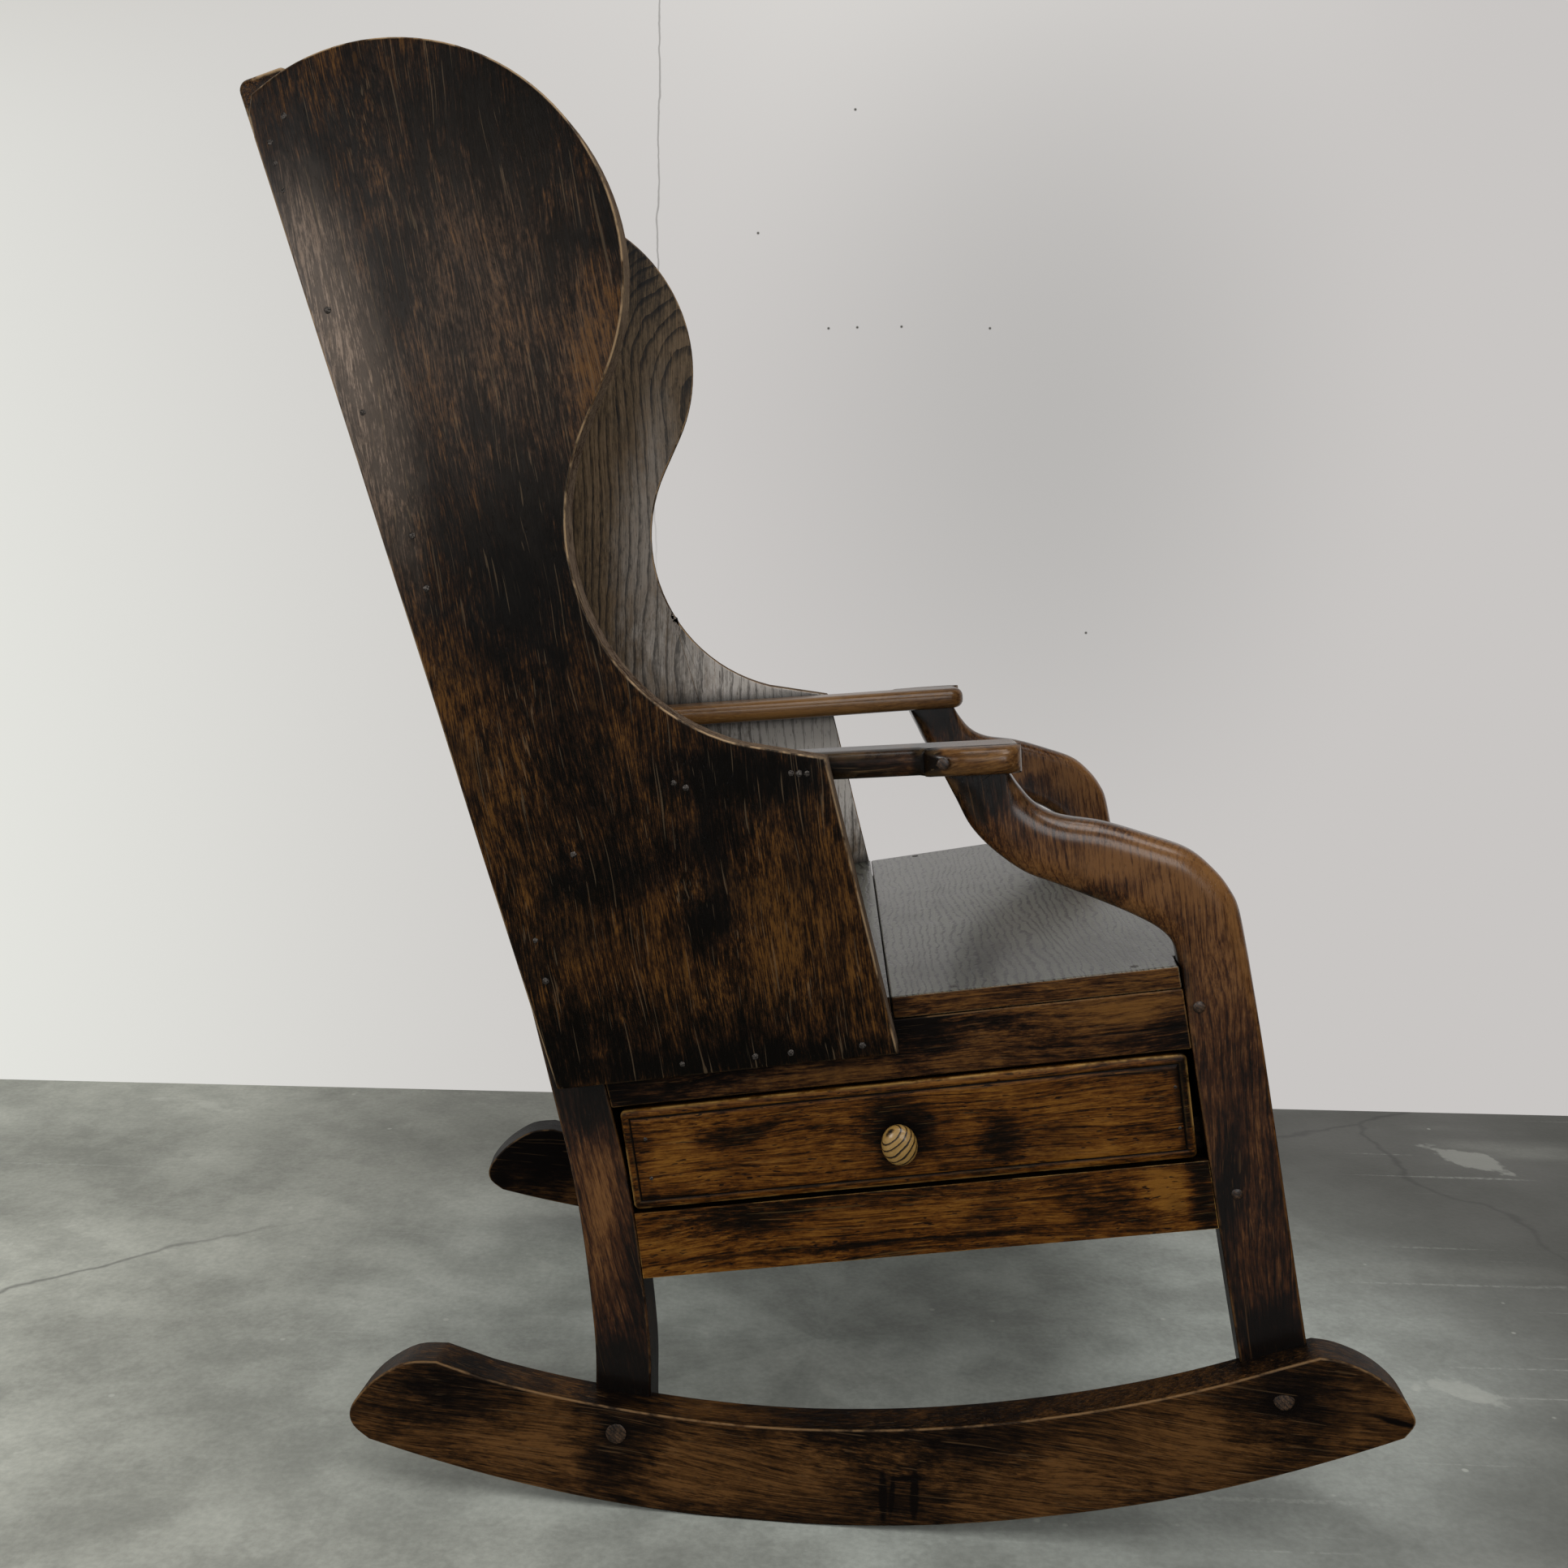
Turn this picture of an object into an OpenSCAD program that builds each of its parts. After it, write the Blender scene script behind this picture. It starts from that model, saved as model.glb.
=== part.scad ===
// Lambing chair: a high-backed winged rocking chair of boards, posts and pegged
// rails, with a drawer under the seat that pulls out on the sitter's right.
// It faces +X and stands on the floor at z = 0, with the middle of its length at x = 0.
// Each side lies in an upright plane that turns out a little towards the front.
// A side is drawn in (u, z): u runs forward along the side and z runs up, and v is
// the distance outwards from the outer face of the posts.

/* [Stance] */
// How far the point of rest lies behind the middle of the chair's length
rest_back = 48.76; // [40:0.01:60]
// Half the width over the posts, measured above the point of rest
frame_half_w = 280; // [240:1:330]
// Angle by which each side turns outwards to the front, in degrees
toe_angle = 4.57; // [2:0.01:7]
// Height of the seat's top above the floor, over the point of rest
seat_h = 418; // [400:1:440]
// Rise of the seat and its rails towards the front, in degrees
seat_pitch = 9.2; // [7:0.1:11]
// Lean of the back from upright, in degrees
back_rake = 17.7; // [15:0.1:20]
// Distance from the point of rest back to the back, along the seat
back_reach = 175; // [165:1:185]

/* [Rockers] */
// Radius of the running edge
rocker_r = 1176; // [1000:1:1400]
// Depth of the rocker in its middle
rocker_depth = 82.5; // [74:0.5:92]
// Radius of the rocker's top edge
rocker_top_r = 1073; // [980:1:1200]
// Thickness of a rocker
rocker_t = 34; // [30:0.5:38]
// How far the rocker's outer face stands proud of the legs
rocker_proud = 25; // [18:0.5:28]
// Length of the rocker behind the point of rest
rocker_tail = 336; // [310:1:370]
// Length of the rocker in front of the point of rest
rocker_nose = 511; // [490:1:550]
// Depth of the wear where the rocker rests
rocker_wear = 0.7; // [0.4:0.1:0.9]

/* [Posts] */
// Width of a rear post, along the side
rear_post_w = 46; // [42:0.5:50]
// Thickness of a rear post
rear_post_t = 36; // [32:0.5:40]
// Thickness of a front post
front_post_t = 30; // [28:0.5:34]
// Width of the straight front leg, along the side
front_leg_w = 54; // [50:0.5:58]
// Distance of the rear leg's foot behind the point of rest
rear_foot = 110; // [100:1:120]
// Distance of the front leg's foot in front of the point of rest
front_foot = 410; // [402:1:420]
// Distance of the front post at the seat in front of the point of rest
front_knee = 343; // [338:1:348]
// Depth to which a leg is lapped into its rocker
leg_lap = 66; // [58:1:72]

/* [Frame] */
// Thickness of the seat boards
seat_t = 18; // [14:0.5:22]
// Depth of the upper rails
upper_rail_h = 48; // [44:0.5:52]
// Height of the drawer's opening between the rails
drawer_open_h = 90; // [86:0.5:96]
// Depth of the lower rails
lower_rail_h = 56; // [50:0.5:62]
// Thickness of the side rails
rail_t = 24; // [20:0.5:26]
// Thickness of the cross rails at the front
front_rail_t = 24; // [20:0.5:28]
// Thickness of the upper cross rail at the rear
rear_upper_rail_t = 40; // [36:0.5:42]
// Thickness of the lower cross rail at the rear
rear_lower_rail_t = 29; // [24:0.5:32]
// Thickness of the boards that close the frame
infill_t = 12; // [8:0.5:14]
// Thickness of a tenon
tenon_t = 10; // [8:0.5:11]
// Thickness of the rail under the seat's joint
seat_bearer_t = 24; // [18:1:30]
// Depth of the rail under the seat's joint
seat_bearer_h = 40; // [30:1:46]
// Overhang of the seat in front of the front rail
seat_nosing = 9; // [6:1:12]
// Distance of the seat's joint in front of the point of rest
seat_joint = 100; // [80:1:130]

/* [Wings] */
// Thickness of the wing boards
wing_t = 24; // [18:0.5:28]
// Length of the wing from the seat to its rear top corner
wing_h = 743; // [700:1:800]
// How far the wing's rear top corner is worn back
wing_corner_n = 8; // [4:0.5:12]
// Length of the wear at the wing's rear top corner
wing_corner_s = 26; // [16:1:40]
// Radius of the wing's round top
wing_r = 172; // [166:1:178]
// Distance of the round top's centre in front of the back
wing_round_n = 72; // [66:1:76]
// Radius of the hollow below the round top
waist_r = 171; // [166:1:176]
// Distance from the back to the narrowest place of the wing
waist_n = 134; // [128:1:140]
// Height of the narrowest place above the seat
waist_s = 332; // [322:1:342]
// Width of the side at its front top corner
side_w = 279; // [272:1:286]
// Height of the side's front top corner above the seat, along the back
side_s = 156; // [150:1:162]
// Angle by which the side narrows down to its foot, in degrees
side_lean = 2.5; // [1:0.1:4]
// Distance from the back to the joint between the two boards of a side
wing_joint_n = 138; // [136:1:146]
// How far the sides reach down over the upper rails
side_drop = 39; // [32:1:44]

/* [Back] */
// Number of upright boards in the back
back_boards = 4; // [3:1:6]
// Thickness of the back boards
back_board_t = 16; // [12:0.5:20]
// Thickness of the rails behind the back boards
back_rail_t = 18; // [14:0.5:22]
// Depth of the rails behind the back boards
back_rail_h = 56; // [44:1:70]
// Depth of the crest rail
crest_h = 52; // [46:1:60]
// How far the crest rail rises above the wings' rear corners
crest_rise = 25; // [16:1:30]
// How far the crest rail stands out behind the rails under it
crest_proud = 7.5; // [0:0.5:10]
// Height of the middle back rail above the seat
mid_rail_s = 330; // [280:1:400]
// Gap between two back boards
board_gap = 0.8; // [0.4:0.1:1.5]

/* [Arms] */
// Height of the arms' top above the floor, over the point of rest
arm_h = 621; // [612:1:632]
// Rise of the arms towards the front, in degrees
arm_pitch = 4.7; // [3.5:0.1:6]
// Thickness of an arm
arm_t = 22; // [18:0.5:26]
// Width of an arm
arm_w = 45; // [40:1:52]
// Distance of the arm's front end in front of the point of rest
arm_front = 192; // [186:1:198]
// Length of the ear on the outside of the arm
ear_l = 73; // [66:1:78]
// Thickness of the ear
ear_t = 16; // [12:1:24]
// Radius of the arm's front corners, seen from above
arm_corner_r = 14.5; // [8:0.5:15.5]

/* [Drawer] */
// Thickness of the drawer's front
drawer_front_t = 20; // [18:0.5:24]
// How far the drawer's front stands out of its opening
drawer_proud = 5; // [3:0.5:7]
// Gap above the drawer's front
drawer_gap_top = 2; // [1.5:0.1:3]
// Gap below the drawer's front
drawer_gap_foot = 4.5; // [3:0.1:6]
// Gap between the drawer's front and the rear post
drawer_gap_rear = 1.5; // [1:0.1:7]
// Gap between the drawer's front and the front post
drawer_gap_front = 4; // [3.5:0.1:6]
// How far the drawer's front reaches past the box behind it, at the rear
drawer_lip_rear = 7.5; // [4:0.5:9]
// How far the drawer's front reaches past the box behind it, in front
drawer_lip_front = 5; // [4:0.5:9]
// Thickness of the drawer's sides and back
drawer_wall = 12; // [9:0.5:14]
// Thickness of the drawer's bottom
drawer_floor = 8; // [6:0.5:10]
// Reach of the drawer's back past the middle of the chair
drawer_back_y = 200; // [160:1:215]
// Width of the moulding round the drawer's front
drawer_bead_w = 7; // [5:0.5:9]
// Depth by which the moulding falls to the edge
drawer_bead_d = 2; // [1:0.1:3]
// Distance of the knob behind the middle of the drawer's front
knob_back = 2.5; // [0:0.5:6]
// Distance of the knob below the middle of the drawer's front
knob_drop = 2.5; // [0:0.5:6]
// Radius of the knob's head
knob_r = 16; // [13:0.5:19]
// Reach of the knob in front of the drawer
knob_l = 24; // [20:0.5:28]
// Radius of the knob's spigot
spigot_r = 7; // [5:0.5:8]

/* [Fastenings] */
// Radius of the pegs in the rockers
rocker_peg_r = 9; // [7:0.5:10]
// Radius of the pegs in the rails' joints
rail_peg_r = 4.5; // [3.5:0.25:5]
// Radius of a nail's head
nail_head_r = 3.2; // [2.5:0.1:4]
// Thickness of a nail's head
nail_head_t = 1; // [0.8:0.1:1.4]
// Radius of a nail's shank
nail_r = 1.4; // [1.1:0.1:1.7]
// Length of a nail
nail_l = 42; // [38:1:48]

/* [Hidden] */

fit = 0.2;
peg_fit = 0.05;
reach = 900;
arc_step = 30;

elm_dark = "#3a2417";
elm_mid = "#4e3018";
elm_seat = "#37302b";
oak_gold = "#6b4219";
iron = "#2b2725";

// Pitch of the rails as it is measured along a side
side_pitch = atan(tan(seat_pitch) * cos(toe_angle));
// Levels of the frame, measured square to the seat from its top
rail_top = -seat_t;
open_top = rail_top - upper_rail_h;
open_foot = open_top - drawer_open_h;
frame_foot = open_foot - lower_rail_h;

// A place on a side, a along the seat and b square to it
function on_side(a, b) = [
    a * cos(side_pitch) - b * sin(side_pitch),
    seat_h + a * sin(side_pitch) + b * cos(side_pitch)
];
// Foot of the back's line, where it meets the seat's top
back_root = on_side(-back_reach, 0);
// A place on a side, n in front of the back's line and s up along it
function on_back(n, s) = [
    back_root[0] + n * cos(back_rake) - s * sin(back_rake),
    back_root[1] + n * sin(back_rake) + s * cos(back_rake)
];
function run_z(u) = rocker_r - sqrt(rocker_r * rocker_r - u * u) - rocker_wear;
function rocker_top_z(u) = rocker_depth - rocker_wear + rocker_top_r
    - sqrt(rocker_top_r * rocker_top_r - u * u);
function arm_top_z(u) = arm_h + u * tan(arm_pitch);
function arm_foot_z(u) = arm_top_z(u) - arm_t / cos(arm_pitch);

// A smooth line through a few points
function blend(p0, p1, p2, p3, t) = 0.5 * (2 * p1 + (p2 - p0) * t
    + (2 * p0 - 5 * p1 + 4 * p2 - p3) * t * t
    + (3 * p1 - p0 - 3 * p2 + p3) * t * t * t);
function smooth_line(p, steps = 5) = [
    for (i = [0:len(p) - 2])
        for (k = [0:steps - 1])
            blend(p[max(i - 1, 0)], p[i], p[i + 1], p[min(i + 2, len(p) - 1)], k / steps),
    p[len(p) - 1]
];
function reversed(p) = [for (i = [len(p) - 1:-1:0]) p[i]];
function moved(p, by) = [for (q = p) q + by];
function arc(centre, r, a0, a1, steps) = [
    for (k = [0:steps]) centre + r * [cos(a0 + (a1 - a0) * k / steps), sin(a0 + (a1 - a0) * k / steps)]
];

// Places pieces that are drawn in a side's own plane
module left_side() {
    translate([0, frame_half_w, 0])
        rotate([0, 0, toe_angle])
            children();
}
module right_side() {
    mirror([0, 1, 0])
        left_side()
            children();
}
module both_sides() {
    left_side()
        children();
    right_side()
        children();
}
// Turns an outline (u, z) into a board between two distances v
module slab(v0, v1) {
    translate([0, v1, 0])
        rotate([90, 0, 0])
            linear_extrude(v1 - v0)
                children();
}
module side_bore(place, v0, v1, r) {
    translate([place[0], v0, place[1]])
        rotate([-90, 0, 0])
            cylinder(h = v1 - v0, r = r, $fn = 48);
}
// All that lies further out than v on both sides
module outside(v) {
    both_sides()
        translate([-2 * reach, v, -reach])
            cube([4 * reach, reach, 3 * reach]);
}
// Places pieces that lie along the seat, with x forward and z square to it
module seat_plane() {
    translate([0, 0, seat_h])
        rotate([0, -seat_pitch, 0])
            children();
}
// Places pieces that lie along the back, with x in front of it and z up along it
module back_plane() {
    translate([back_root[0] * cos(toe_angle), 0, back_root[1]])
        rotate([0, -back_rake, 0])
            children();
}
module block(x0, x1, z0, z1) {
    translate([x0, -reach, z0])
        cube([x1 - x0, 2 * reach, z1 - z0]);
}
module band(a0, a1, b0, b1) {
    translate([0, seat_h])
        rotate(side_pitch)
            translate([a0, b0])
                square([a1 - a0, b1 - b0]);
}

// Rockers
rocker_inner_v = rocker_proud - rocker_t;
tail_z = run_z(rocker_tail);
nose_z = run_z(rocker_nose);
tail_end = smooth_line([
    [-rocker_tail + 74, tail_z + 68], [-rocker_tail + 49, tail_z + 65], [-rocker_tail + 24, tail_z + 50],
    [-rocker_tail + 7, tail_z + 32], [-rocker_tail, tail_z + 18], [-rocker_tail + 3, tail_z + 6],
    [-rocker_tail + 16, run_z(rocker_tail - 16)]
], 3);
nose_end = smooth_line([
    [rocker_nose - 7, run_z(rocker_nose - 7)], [rocker_nose, nose_z + 8], [rocker_nose - 2, nose_z + 17],
    [rocker_nose - 13, nose_z + 32], [rocker_nose - 32, nose_z + 46], [rocker_nose - 56, nose_z + 55],
    [rocker_nose - 74, nose_z + 57]
], 3);
run_from = -rocker_tail + 16 + arc_step;
run_to = rocker_nose - 7 - arc_step / 2;
top_from = -rocker_tail + 74 + arc_step;
top_to = rocker_nose - 74 - arc_step;

rocker_top_line = [for (u = [top_from:arc_step:top_to]) [u, rocker_top_z(u)]];

module rocker_outline() {
    difference() {
        polygon(concat(
            tail_end,
            [for (u = [run_from:arc_step:run_to]) [u, run_z(u)]],
            nose_end,
            reversed(rocker_top_line)
        ));
        translate([-reach, -reach])
            square([2 * reach, reach]);
    }
}
rear_foot_z = rocker_top_z(rear_foot) - leg_lap;
front_foot_z = rocker_top_z(front_foot) - leg_lap;
rear_peg = [-rear_foot - 4, rear_foot_z + 42];
front_peg = [front_foot + 2, front_foot_z + 42];

module rocker() {
    color(elm_mid)
        difference() {
            slab(rocker_inner_v, rocker_proud)
                rocker_outline();
            side_bore(rear_peg, rocker_inner_v - 1, rocker_proud + 1, rocker_peg_r + peg_fit);
            side_bore(front_peg, rocker_inner_v - 1, rocker_proud + 1, rocker_peg_r + peg_fit);
        }
}

// Rear posts, bent at the seat from the leg into the back
crest_foot = wing_h + crest_rise - crest_h;
rear_edge = smooth_line([
    [-rear_foot - rear_post_w / 2 - 1, rear_foot_z],
    [-rear_foot - rear_post_w / 2 - 1, rear_foot_z + 60],
    [-rear_foot - rear_post_w / 2 - 3, rear_foot_z + 120],
    back_root + [22, -3 * rear_post_w],
    back_root + [1.5, -48],
    on_back(-2, 137)
], 5);
function rear_front_edge(p) = moved(p, [rear_post_w, 0]);

module rear_post_outline() {
    polygon(concat(
        rear_edge,
        [on_back(-2, crest_foot)],
        [on_back(-2, crest_foot) + rear_post_w * cos(back_rake) * [cos(back_rake), sin(back_rake)]],
        reversed(rear_front_edge(rear_edge))
    ));
}
crest_t = back_board_t + back_rail_t;
post_tenon_n = crest_t / 2 - tenon_t / 2;
post_tenon_h = 24;
module rear_post_tenon(grow) {
    slab(-rear_post_t + 6 - grow, -6 + grow)
        polygon([
            on_back(post_tenon_n - grow, crest_foot - 5),
            on_back(post_tenon_n + tenon_t + grow, crest_foot - 5),
            on_back(post_tenon_n + tenon_t + grow, crest_foot + post_tenon_h + grow),
            on_back(post_tenon_n - grow, crest_foot + post_tenon_h + grow)
        ]);
}
module rear_post() {
    color(elm_dark)
        difference() {
            union() {
                slab(-rear_post_t, 0)
                    rear_post_outline();
                rear_post_tenon(0);
            }
            slab(rocker_inner_v, 1)
                difference() {
                    translate([-reach, -reach])
                        square([2 * reach, reach + rocker_top_z(rear_foot) + 60]);
                    above_rocker();
                }
            side_bore(rear_peg, -rear_post_t - 1, 1, rocker_peg_r + peg_fit);
            side_tenons(fit);
            cross_tenons(fit);
        }
}

// Front posts, straight to the seat and curved back above it to the arm
knee = [front_knee, on_side(front_knee, 0)[1]];
grip = [arm_front - 33, arm_foot_z(arm_front - 33)];
foot_in = [front_foot - front_leg_w / 2 - 1, rocker_top_z(front_foot) - 10];
lap_in = [foot_in[0] + 12, front_foot_z];
inner_curve = smooth_line([
    knee + [-25, -2], knee + [-29, 12], knee + [-40, 23], knee + [-60, 33], knee + [-86, 43],
    grip + [66, -85], grip + [40, -76], grip + [16, -60], grip + [-2, -42], grip + [-14, -21],
    grip + [-24, -2]
], 4);
outer_curve = smooth_line([
    knee + [28, 4], knee + [19.5, 40], knee + [11.5, 56], knee + [-0.5, 70.5],
    knee + [-20, 85.5], knee + [-49, 95],
    grip + [99, -35], grip + [66, -31], grip + [47, -23], grip + [33, -9], grip + [25, 2]
], 4);

module front_post_outline() {
    intersection() {
        polygon(concat(
            [lap_in, foot_in],
            inner_curve,
            [grip + [-24, 12], grip + [25, 12]],
            reversed(outer_curve),
            [foot_in + [front_leg_w, 0], lap_in + [front_leg_w, 0]]
        ));
        below_arm();
    }
}
module below_arm() {
    polygon([
        [-reach, -reach], [reach, -reach], [reach, arm_foot_z(reach)], [-reach, arm_foot_z(-reach)]
    ]);
}
module above_rocker() {
    polygon(concat(
        [tail_end[0]], rocker_top_line, [nose_end[len(nose_end) - 1]],
        [[reach, reach], [-reach, reach]]
    ));
}
grip_tenon_h = 14;
module front_post_tenon(grow) {
    slab(-front_post_t + 8 - grow, -8 + grow)
        polygon([
            grip + [-14 - grow, -10], grip + [16 + grow, -10],
            grip + [16 + grow, grip_tenon_h + grow], grip + [-14 - grow, grip_tenon_h + grow]
        ]);
}
module front_post() {
    color(elm_mid)
        difference() {
            union() {
                slab(-front_post_t, 0)
                    front_post_outline();
                front_post_tenon(0);
            }
            slab(rocker_inner_v, 1)
                difference() {
                    translate([-reach, -reach])
                        square([2 * reach, reach + rocker_top_z(front_foot) + 60]);
                    above_rocker();
                }
            side_bore(front_peg, -front_post_t - 1, 1, rocker_peg_r + peg_fit);
            side_tenons(fit);
            cross_tenons(fit);
            rail_peg_bores();
            side_bore(grip_peg, -front_post_t - 1, 1, rail_peg_r - 1 + peg_fit);
        }
}

// Side rails with a tenon at each end
side_tenon_v = -rail_t / 2;
tenon_l = 22;
rear_shoulder = -back_reach + rear_post_w - 6;
front_shoulder = front_knee - front_leg_w + 36;
module side_rail(b0, b1) {
    slab(-rail_t, 0)
        difference() {
            band(rear_shoulder - 20, front_shoulder + 20, b0, b1);
            rear_post_outline();
            front_post_outline();
        }
}
module side_tenon(b0, b1, grow) {
    slab(side_tenon_v - tenon_t / 2 - grow, side_tenon_v + tenon_t / 2 + grow)
        difference() {
            band(rear_shoulder - tenon_l - grow, front_shoulder + tenon_l + grow,
                b0 + 8 - grow, b1 - 8 + grow);
            band(rear_shoulder + 20, front_shoulder - 20, b0 - 1, b1 + 1);
        }
}
module side_tenons(grow) {
    side_tenon(open_top, rail_top, grow);
    side_tenon(frame_foot, open_foot, grow);
}
upper_peg = on_side(front_shoulder + 7, rail_top - upper_rail_h / 2 + 5);
lower_peg = on_side(front_shoulder + 21, open_foot - lower_rail_h / 2 + 4);
module rail_peg_bores() {
    for (place = [upper_peg, lower_peg])
        side_bore(place, cross_tenon_v + 0.5, 1, rail_peg_r + peg_fit);
}
module upper_rail() {
    color(elm_mid)
        difference() {
            union() {
                side_rail(open_top, rail_top);
                side_tenon(open_top, rail_top, 0);
            }
            rail_peg_bores();
        }
}
module lower_rail() {
    color(oak_gold)
        difference() {
            union() {
                side_rail(frame_foot, open_foot);
                side_tenon(frame_foot, open_foot, 0);
            }
            rail_peg_bores();
        }
}

// Cross rails between the posts, with stub tenons
cross_tenon_v = side_tenon_v - tenon_t / 2 - 2;
front_rail_a = front_shoulder + 8;
rear_upper_a = -back_reach + 3;
rear_lower_a = rear_upper_a + 12;
rear_shoulder_v = -rear_post_t;
front_shoulder_v = -front_post_t;
module front_rail(z0, z1) {
    seat_plane()
        block(front_rail_a, front_rail_a + front_rail_t, z0, z1);
}
module placed_tenon(x0, x1, z0, z1, grow) {
    mid = (x0 + x1) / 2;
    difference() {
        seat_plane()
            block(mid - tenon_t / 2 - grow, mid + tenon_t / 2 + grow, z0 + 8 - grow, z1 - 8 + grow);
        outside(cross_tenon_v + grow);
    }
}
module back_tenon(s0, s1, grow) {
    mid = back_rail_t / 2;
    difference() {
        back_plane()
            block(mid - tenon_t / 2 - grow, mid + tenon_t / 2 + grow, s0 + 8 - grow, s1 - 8 + grow);
        outside(cross_tenon_v + grow);
    }
}
low_rail_s = 5;
module frame_tenons(grow) {
    placed_tenon(front_rail_a, front_rail_a + front_rail_t, open_top, rail_top, grow);
    placed_tenon(front_rail_a, front_rail_a + front_rail_t, frame_foot, open_foot, grow);
    placed_tenon(rear_upper_a, rear_upper_a + rear_upper_rail_t, open_top, rail_top, grow);
    placed_tenon(rear_lower_a, rear_lower_a + rear_lower_rail_t, frame_foot, open_foot, grow);
    back_tenon(mid_rail_s, mid_rail_s + back_rail_h, grow);
    back_tenon(low_rail_s, low_rail_s + back_rail_h, grow);
}
// The same tenons, seen from a side's own plane, to cut the posts
module cross_tenons(grow) {
    rotate([0, 0, -toe_angle])
        translate([0, -frame_half_w, 0])
            frame_tenons(grow);
}
groove_d = 6;
front_infill_a = front_rail_a + 6;
rear_infill_a = rear_lower_a + 7;
module groove(a, z0, z1) {
    seat_plane()
        block(a - fit, a + infill_t + fit, z0, z1);
}
module front_upper_rail_shape() {
    color(elm_mid) {
        difference() {
            front_rail(open_top, rail_top);
            outside(front_shoulder_v);
            groove(front_infill_a, open_top - 1, open_top + groove_d + fit);
        }
        placed_tenon(front_rail_a, front_rail_a + front_rail_t, open_top, rail_top, 0);
    }
}
module front_lower_rail_shape() {
    color(elm_mid) {
        difference() {
            front_rail(frame_foot, open_foot);
            outside(front_shoulder_v);
            groove(front_infill_a, open_foot - groove_d - fit, open_foot + 1);
        }
        placed_tenon(front_rail_a, front_rail_a + front_rail_t, frame_foot, open_foot, 0);
    }
}
module infill(a, v) {
    difference() {
        seat_plane()
            block(a, a + infill_t, open_foot - groove_d, open_top + groove_d);
        outside(v - fit);
    }
}
module front_infill_shape() {
    color(elm_dark)
        infill(front_infill_a, front_shoulder_v);
}
module rear_infill_shape() {
    color(elm_dark)
        infill(rear_infill_a, rear_shoulder_v);
}
module rear_upper_rail_shape() {
    color(elm_dark) {
        difference() {
            seat_plane()
                block(rear_upper_a, rear_upper_a + rear_upper_rail_t, open_top, rail_top);
            outside(rear_shoulder_v);
            groove(rear_infill_a, open_top - 1, open_top + groove_d + fit);
        }
        placed_tenon(rear_upper_a, rear_upper_a + rear_upper_rail_t, open_top, rail_top, 0);
    }
}
module rear_lower_rail_shape() {
    color(elm_dark) {
        difference() {
            seat_plane()
                block(rear_lower_a, rear_lower_a + rear_lower_rail_t, frame_foot, open_foot);
            outside(rear_shoulder_v);
            groove(rear_infill_a, open_foot - groove_d - fit, open_foot + 1);
        }
        placed_tenon(rear_lower_a, rear_lower_a + rear_lower_rail_t, frame_foot, open_foot, 0);
    }
}
// The board that closes the side without a drawer
side_infill_v = -rail_t / 2 + infill_t / 2;
module side_infill_board(grow) {
    slab(side_infill_v - infill_t - grow, side_infill_v + grow)
        difference() {
            band(rear_shoulder - 20, front_shoulder + 20,
                open_foot - groove_d - grow, open_top + groove_d + grow);
            translate([fit, 0])
                rear_post_outline();
            translate([-fit, 0])
                front_post_outline();
        }
}

// Wings and sides
round_c = [wing_round_n, wing_h - sqrt(wing_r * wing_r - wing_round_n * wing_round_n)];
waist_c = [waist_n + waist_r, waist_s];
centre_line = waist_c - round_c;
centre_angle = atan2(centre_line[1], centre_line[0]);
turn_angle = centre_angle + acos(min(1, (wing_r + waist_r) / norm(centre_line)));
waist_end = 240;
joint_s = waist_s - sqrt(waist_r * waist_r - pow(waist_c[0] - wing_joint_n, 2));
round_start = 180 - acos((wing_round_n - wing_corner_n) / wing_r);
wing_edge = concat(
    [[0, wing_h - wing_corner_s]],
    arc(round_c, wing_r, round_start, turn_angle, 30),
    arc(waist_c, waist_r, turn_angle + 180, waist_end, 16),
    [[side_w, side_s]]
);
module side_outline() {
    intersection() {
        translate(back_root)
            rotate(back_rake)
                polygon(concat(
                    [[0, -reach]], wing_edge, [[side_w - reach * tan(side_lean), side_s - reach]]
                ));
        band(-reach, reach, -side_drop, 2 * reach);
    }
}
module joint_strip(n0, n1) {
    translate(back_root)
        rotate(back_rake)
            translate([n0, -reach])
                square([n1 - n0, reach + joint_s]);
}
module wing_board() {
    color(elm_dark)
        slab(0, wing_t)
            difference() {
                side_outline();
                joint_strip(wing_joint_n, wing_joint_n + reach);
            }
}
module wing_front_board() {
    color(elm_dark)
        slab(0, wing_t)
            intersection() {
                side_outline();
                joint_strip(wing_joint_n + board_gap / 4, wing_joint_n + reach);
            }
}

// Back
module crest_rail_shape() {
    color(elm_dark)
        difference() {
            back_plane()
                block(-crest_proud, crest_t, crest_foot, crest_foot + crest_h);
            outside(0);
            difference() {
                back_plane()
                    block(back_rail_t, crest_t + 1, crest_foot - 1, crest_foot + crest_rebate);
                outside(rear_shoulder_v);
            }
            both_sides()
                rear_post_tenon(fit);
        }
}
crest_rebate = 18;
module back_rail(s0, s1) {
    color(elm_dark) {
        difference() {
            back_plane()
                block(0, back_rail_t, s0, s1);
            outside(rear_shoulder_v);
        }
        back_tenon(s0, s1, 0);
    }
}
function back_half_w(s) = frame_half_w + tan(toe_angle) * on_back(0, s)[0] * cos(toe_angle);
back_span = 2 * (back_half_w(0) - rear_post_t);
board_w = back_span / back_boards;
board_foot = 60;
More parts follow.
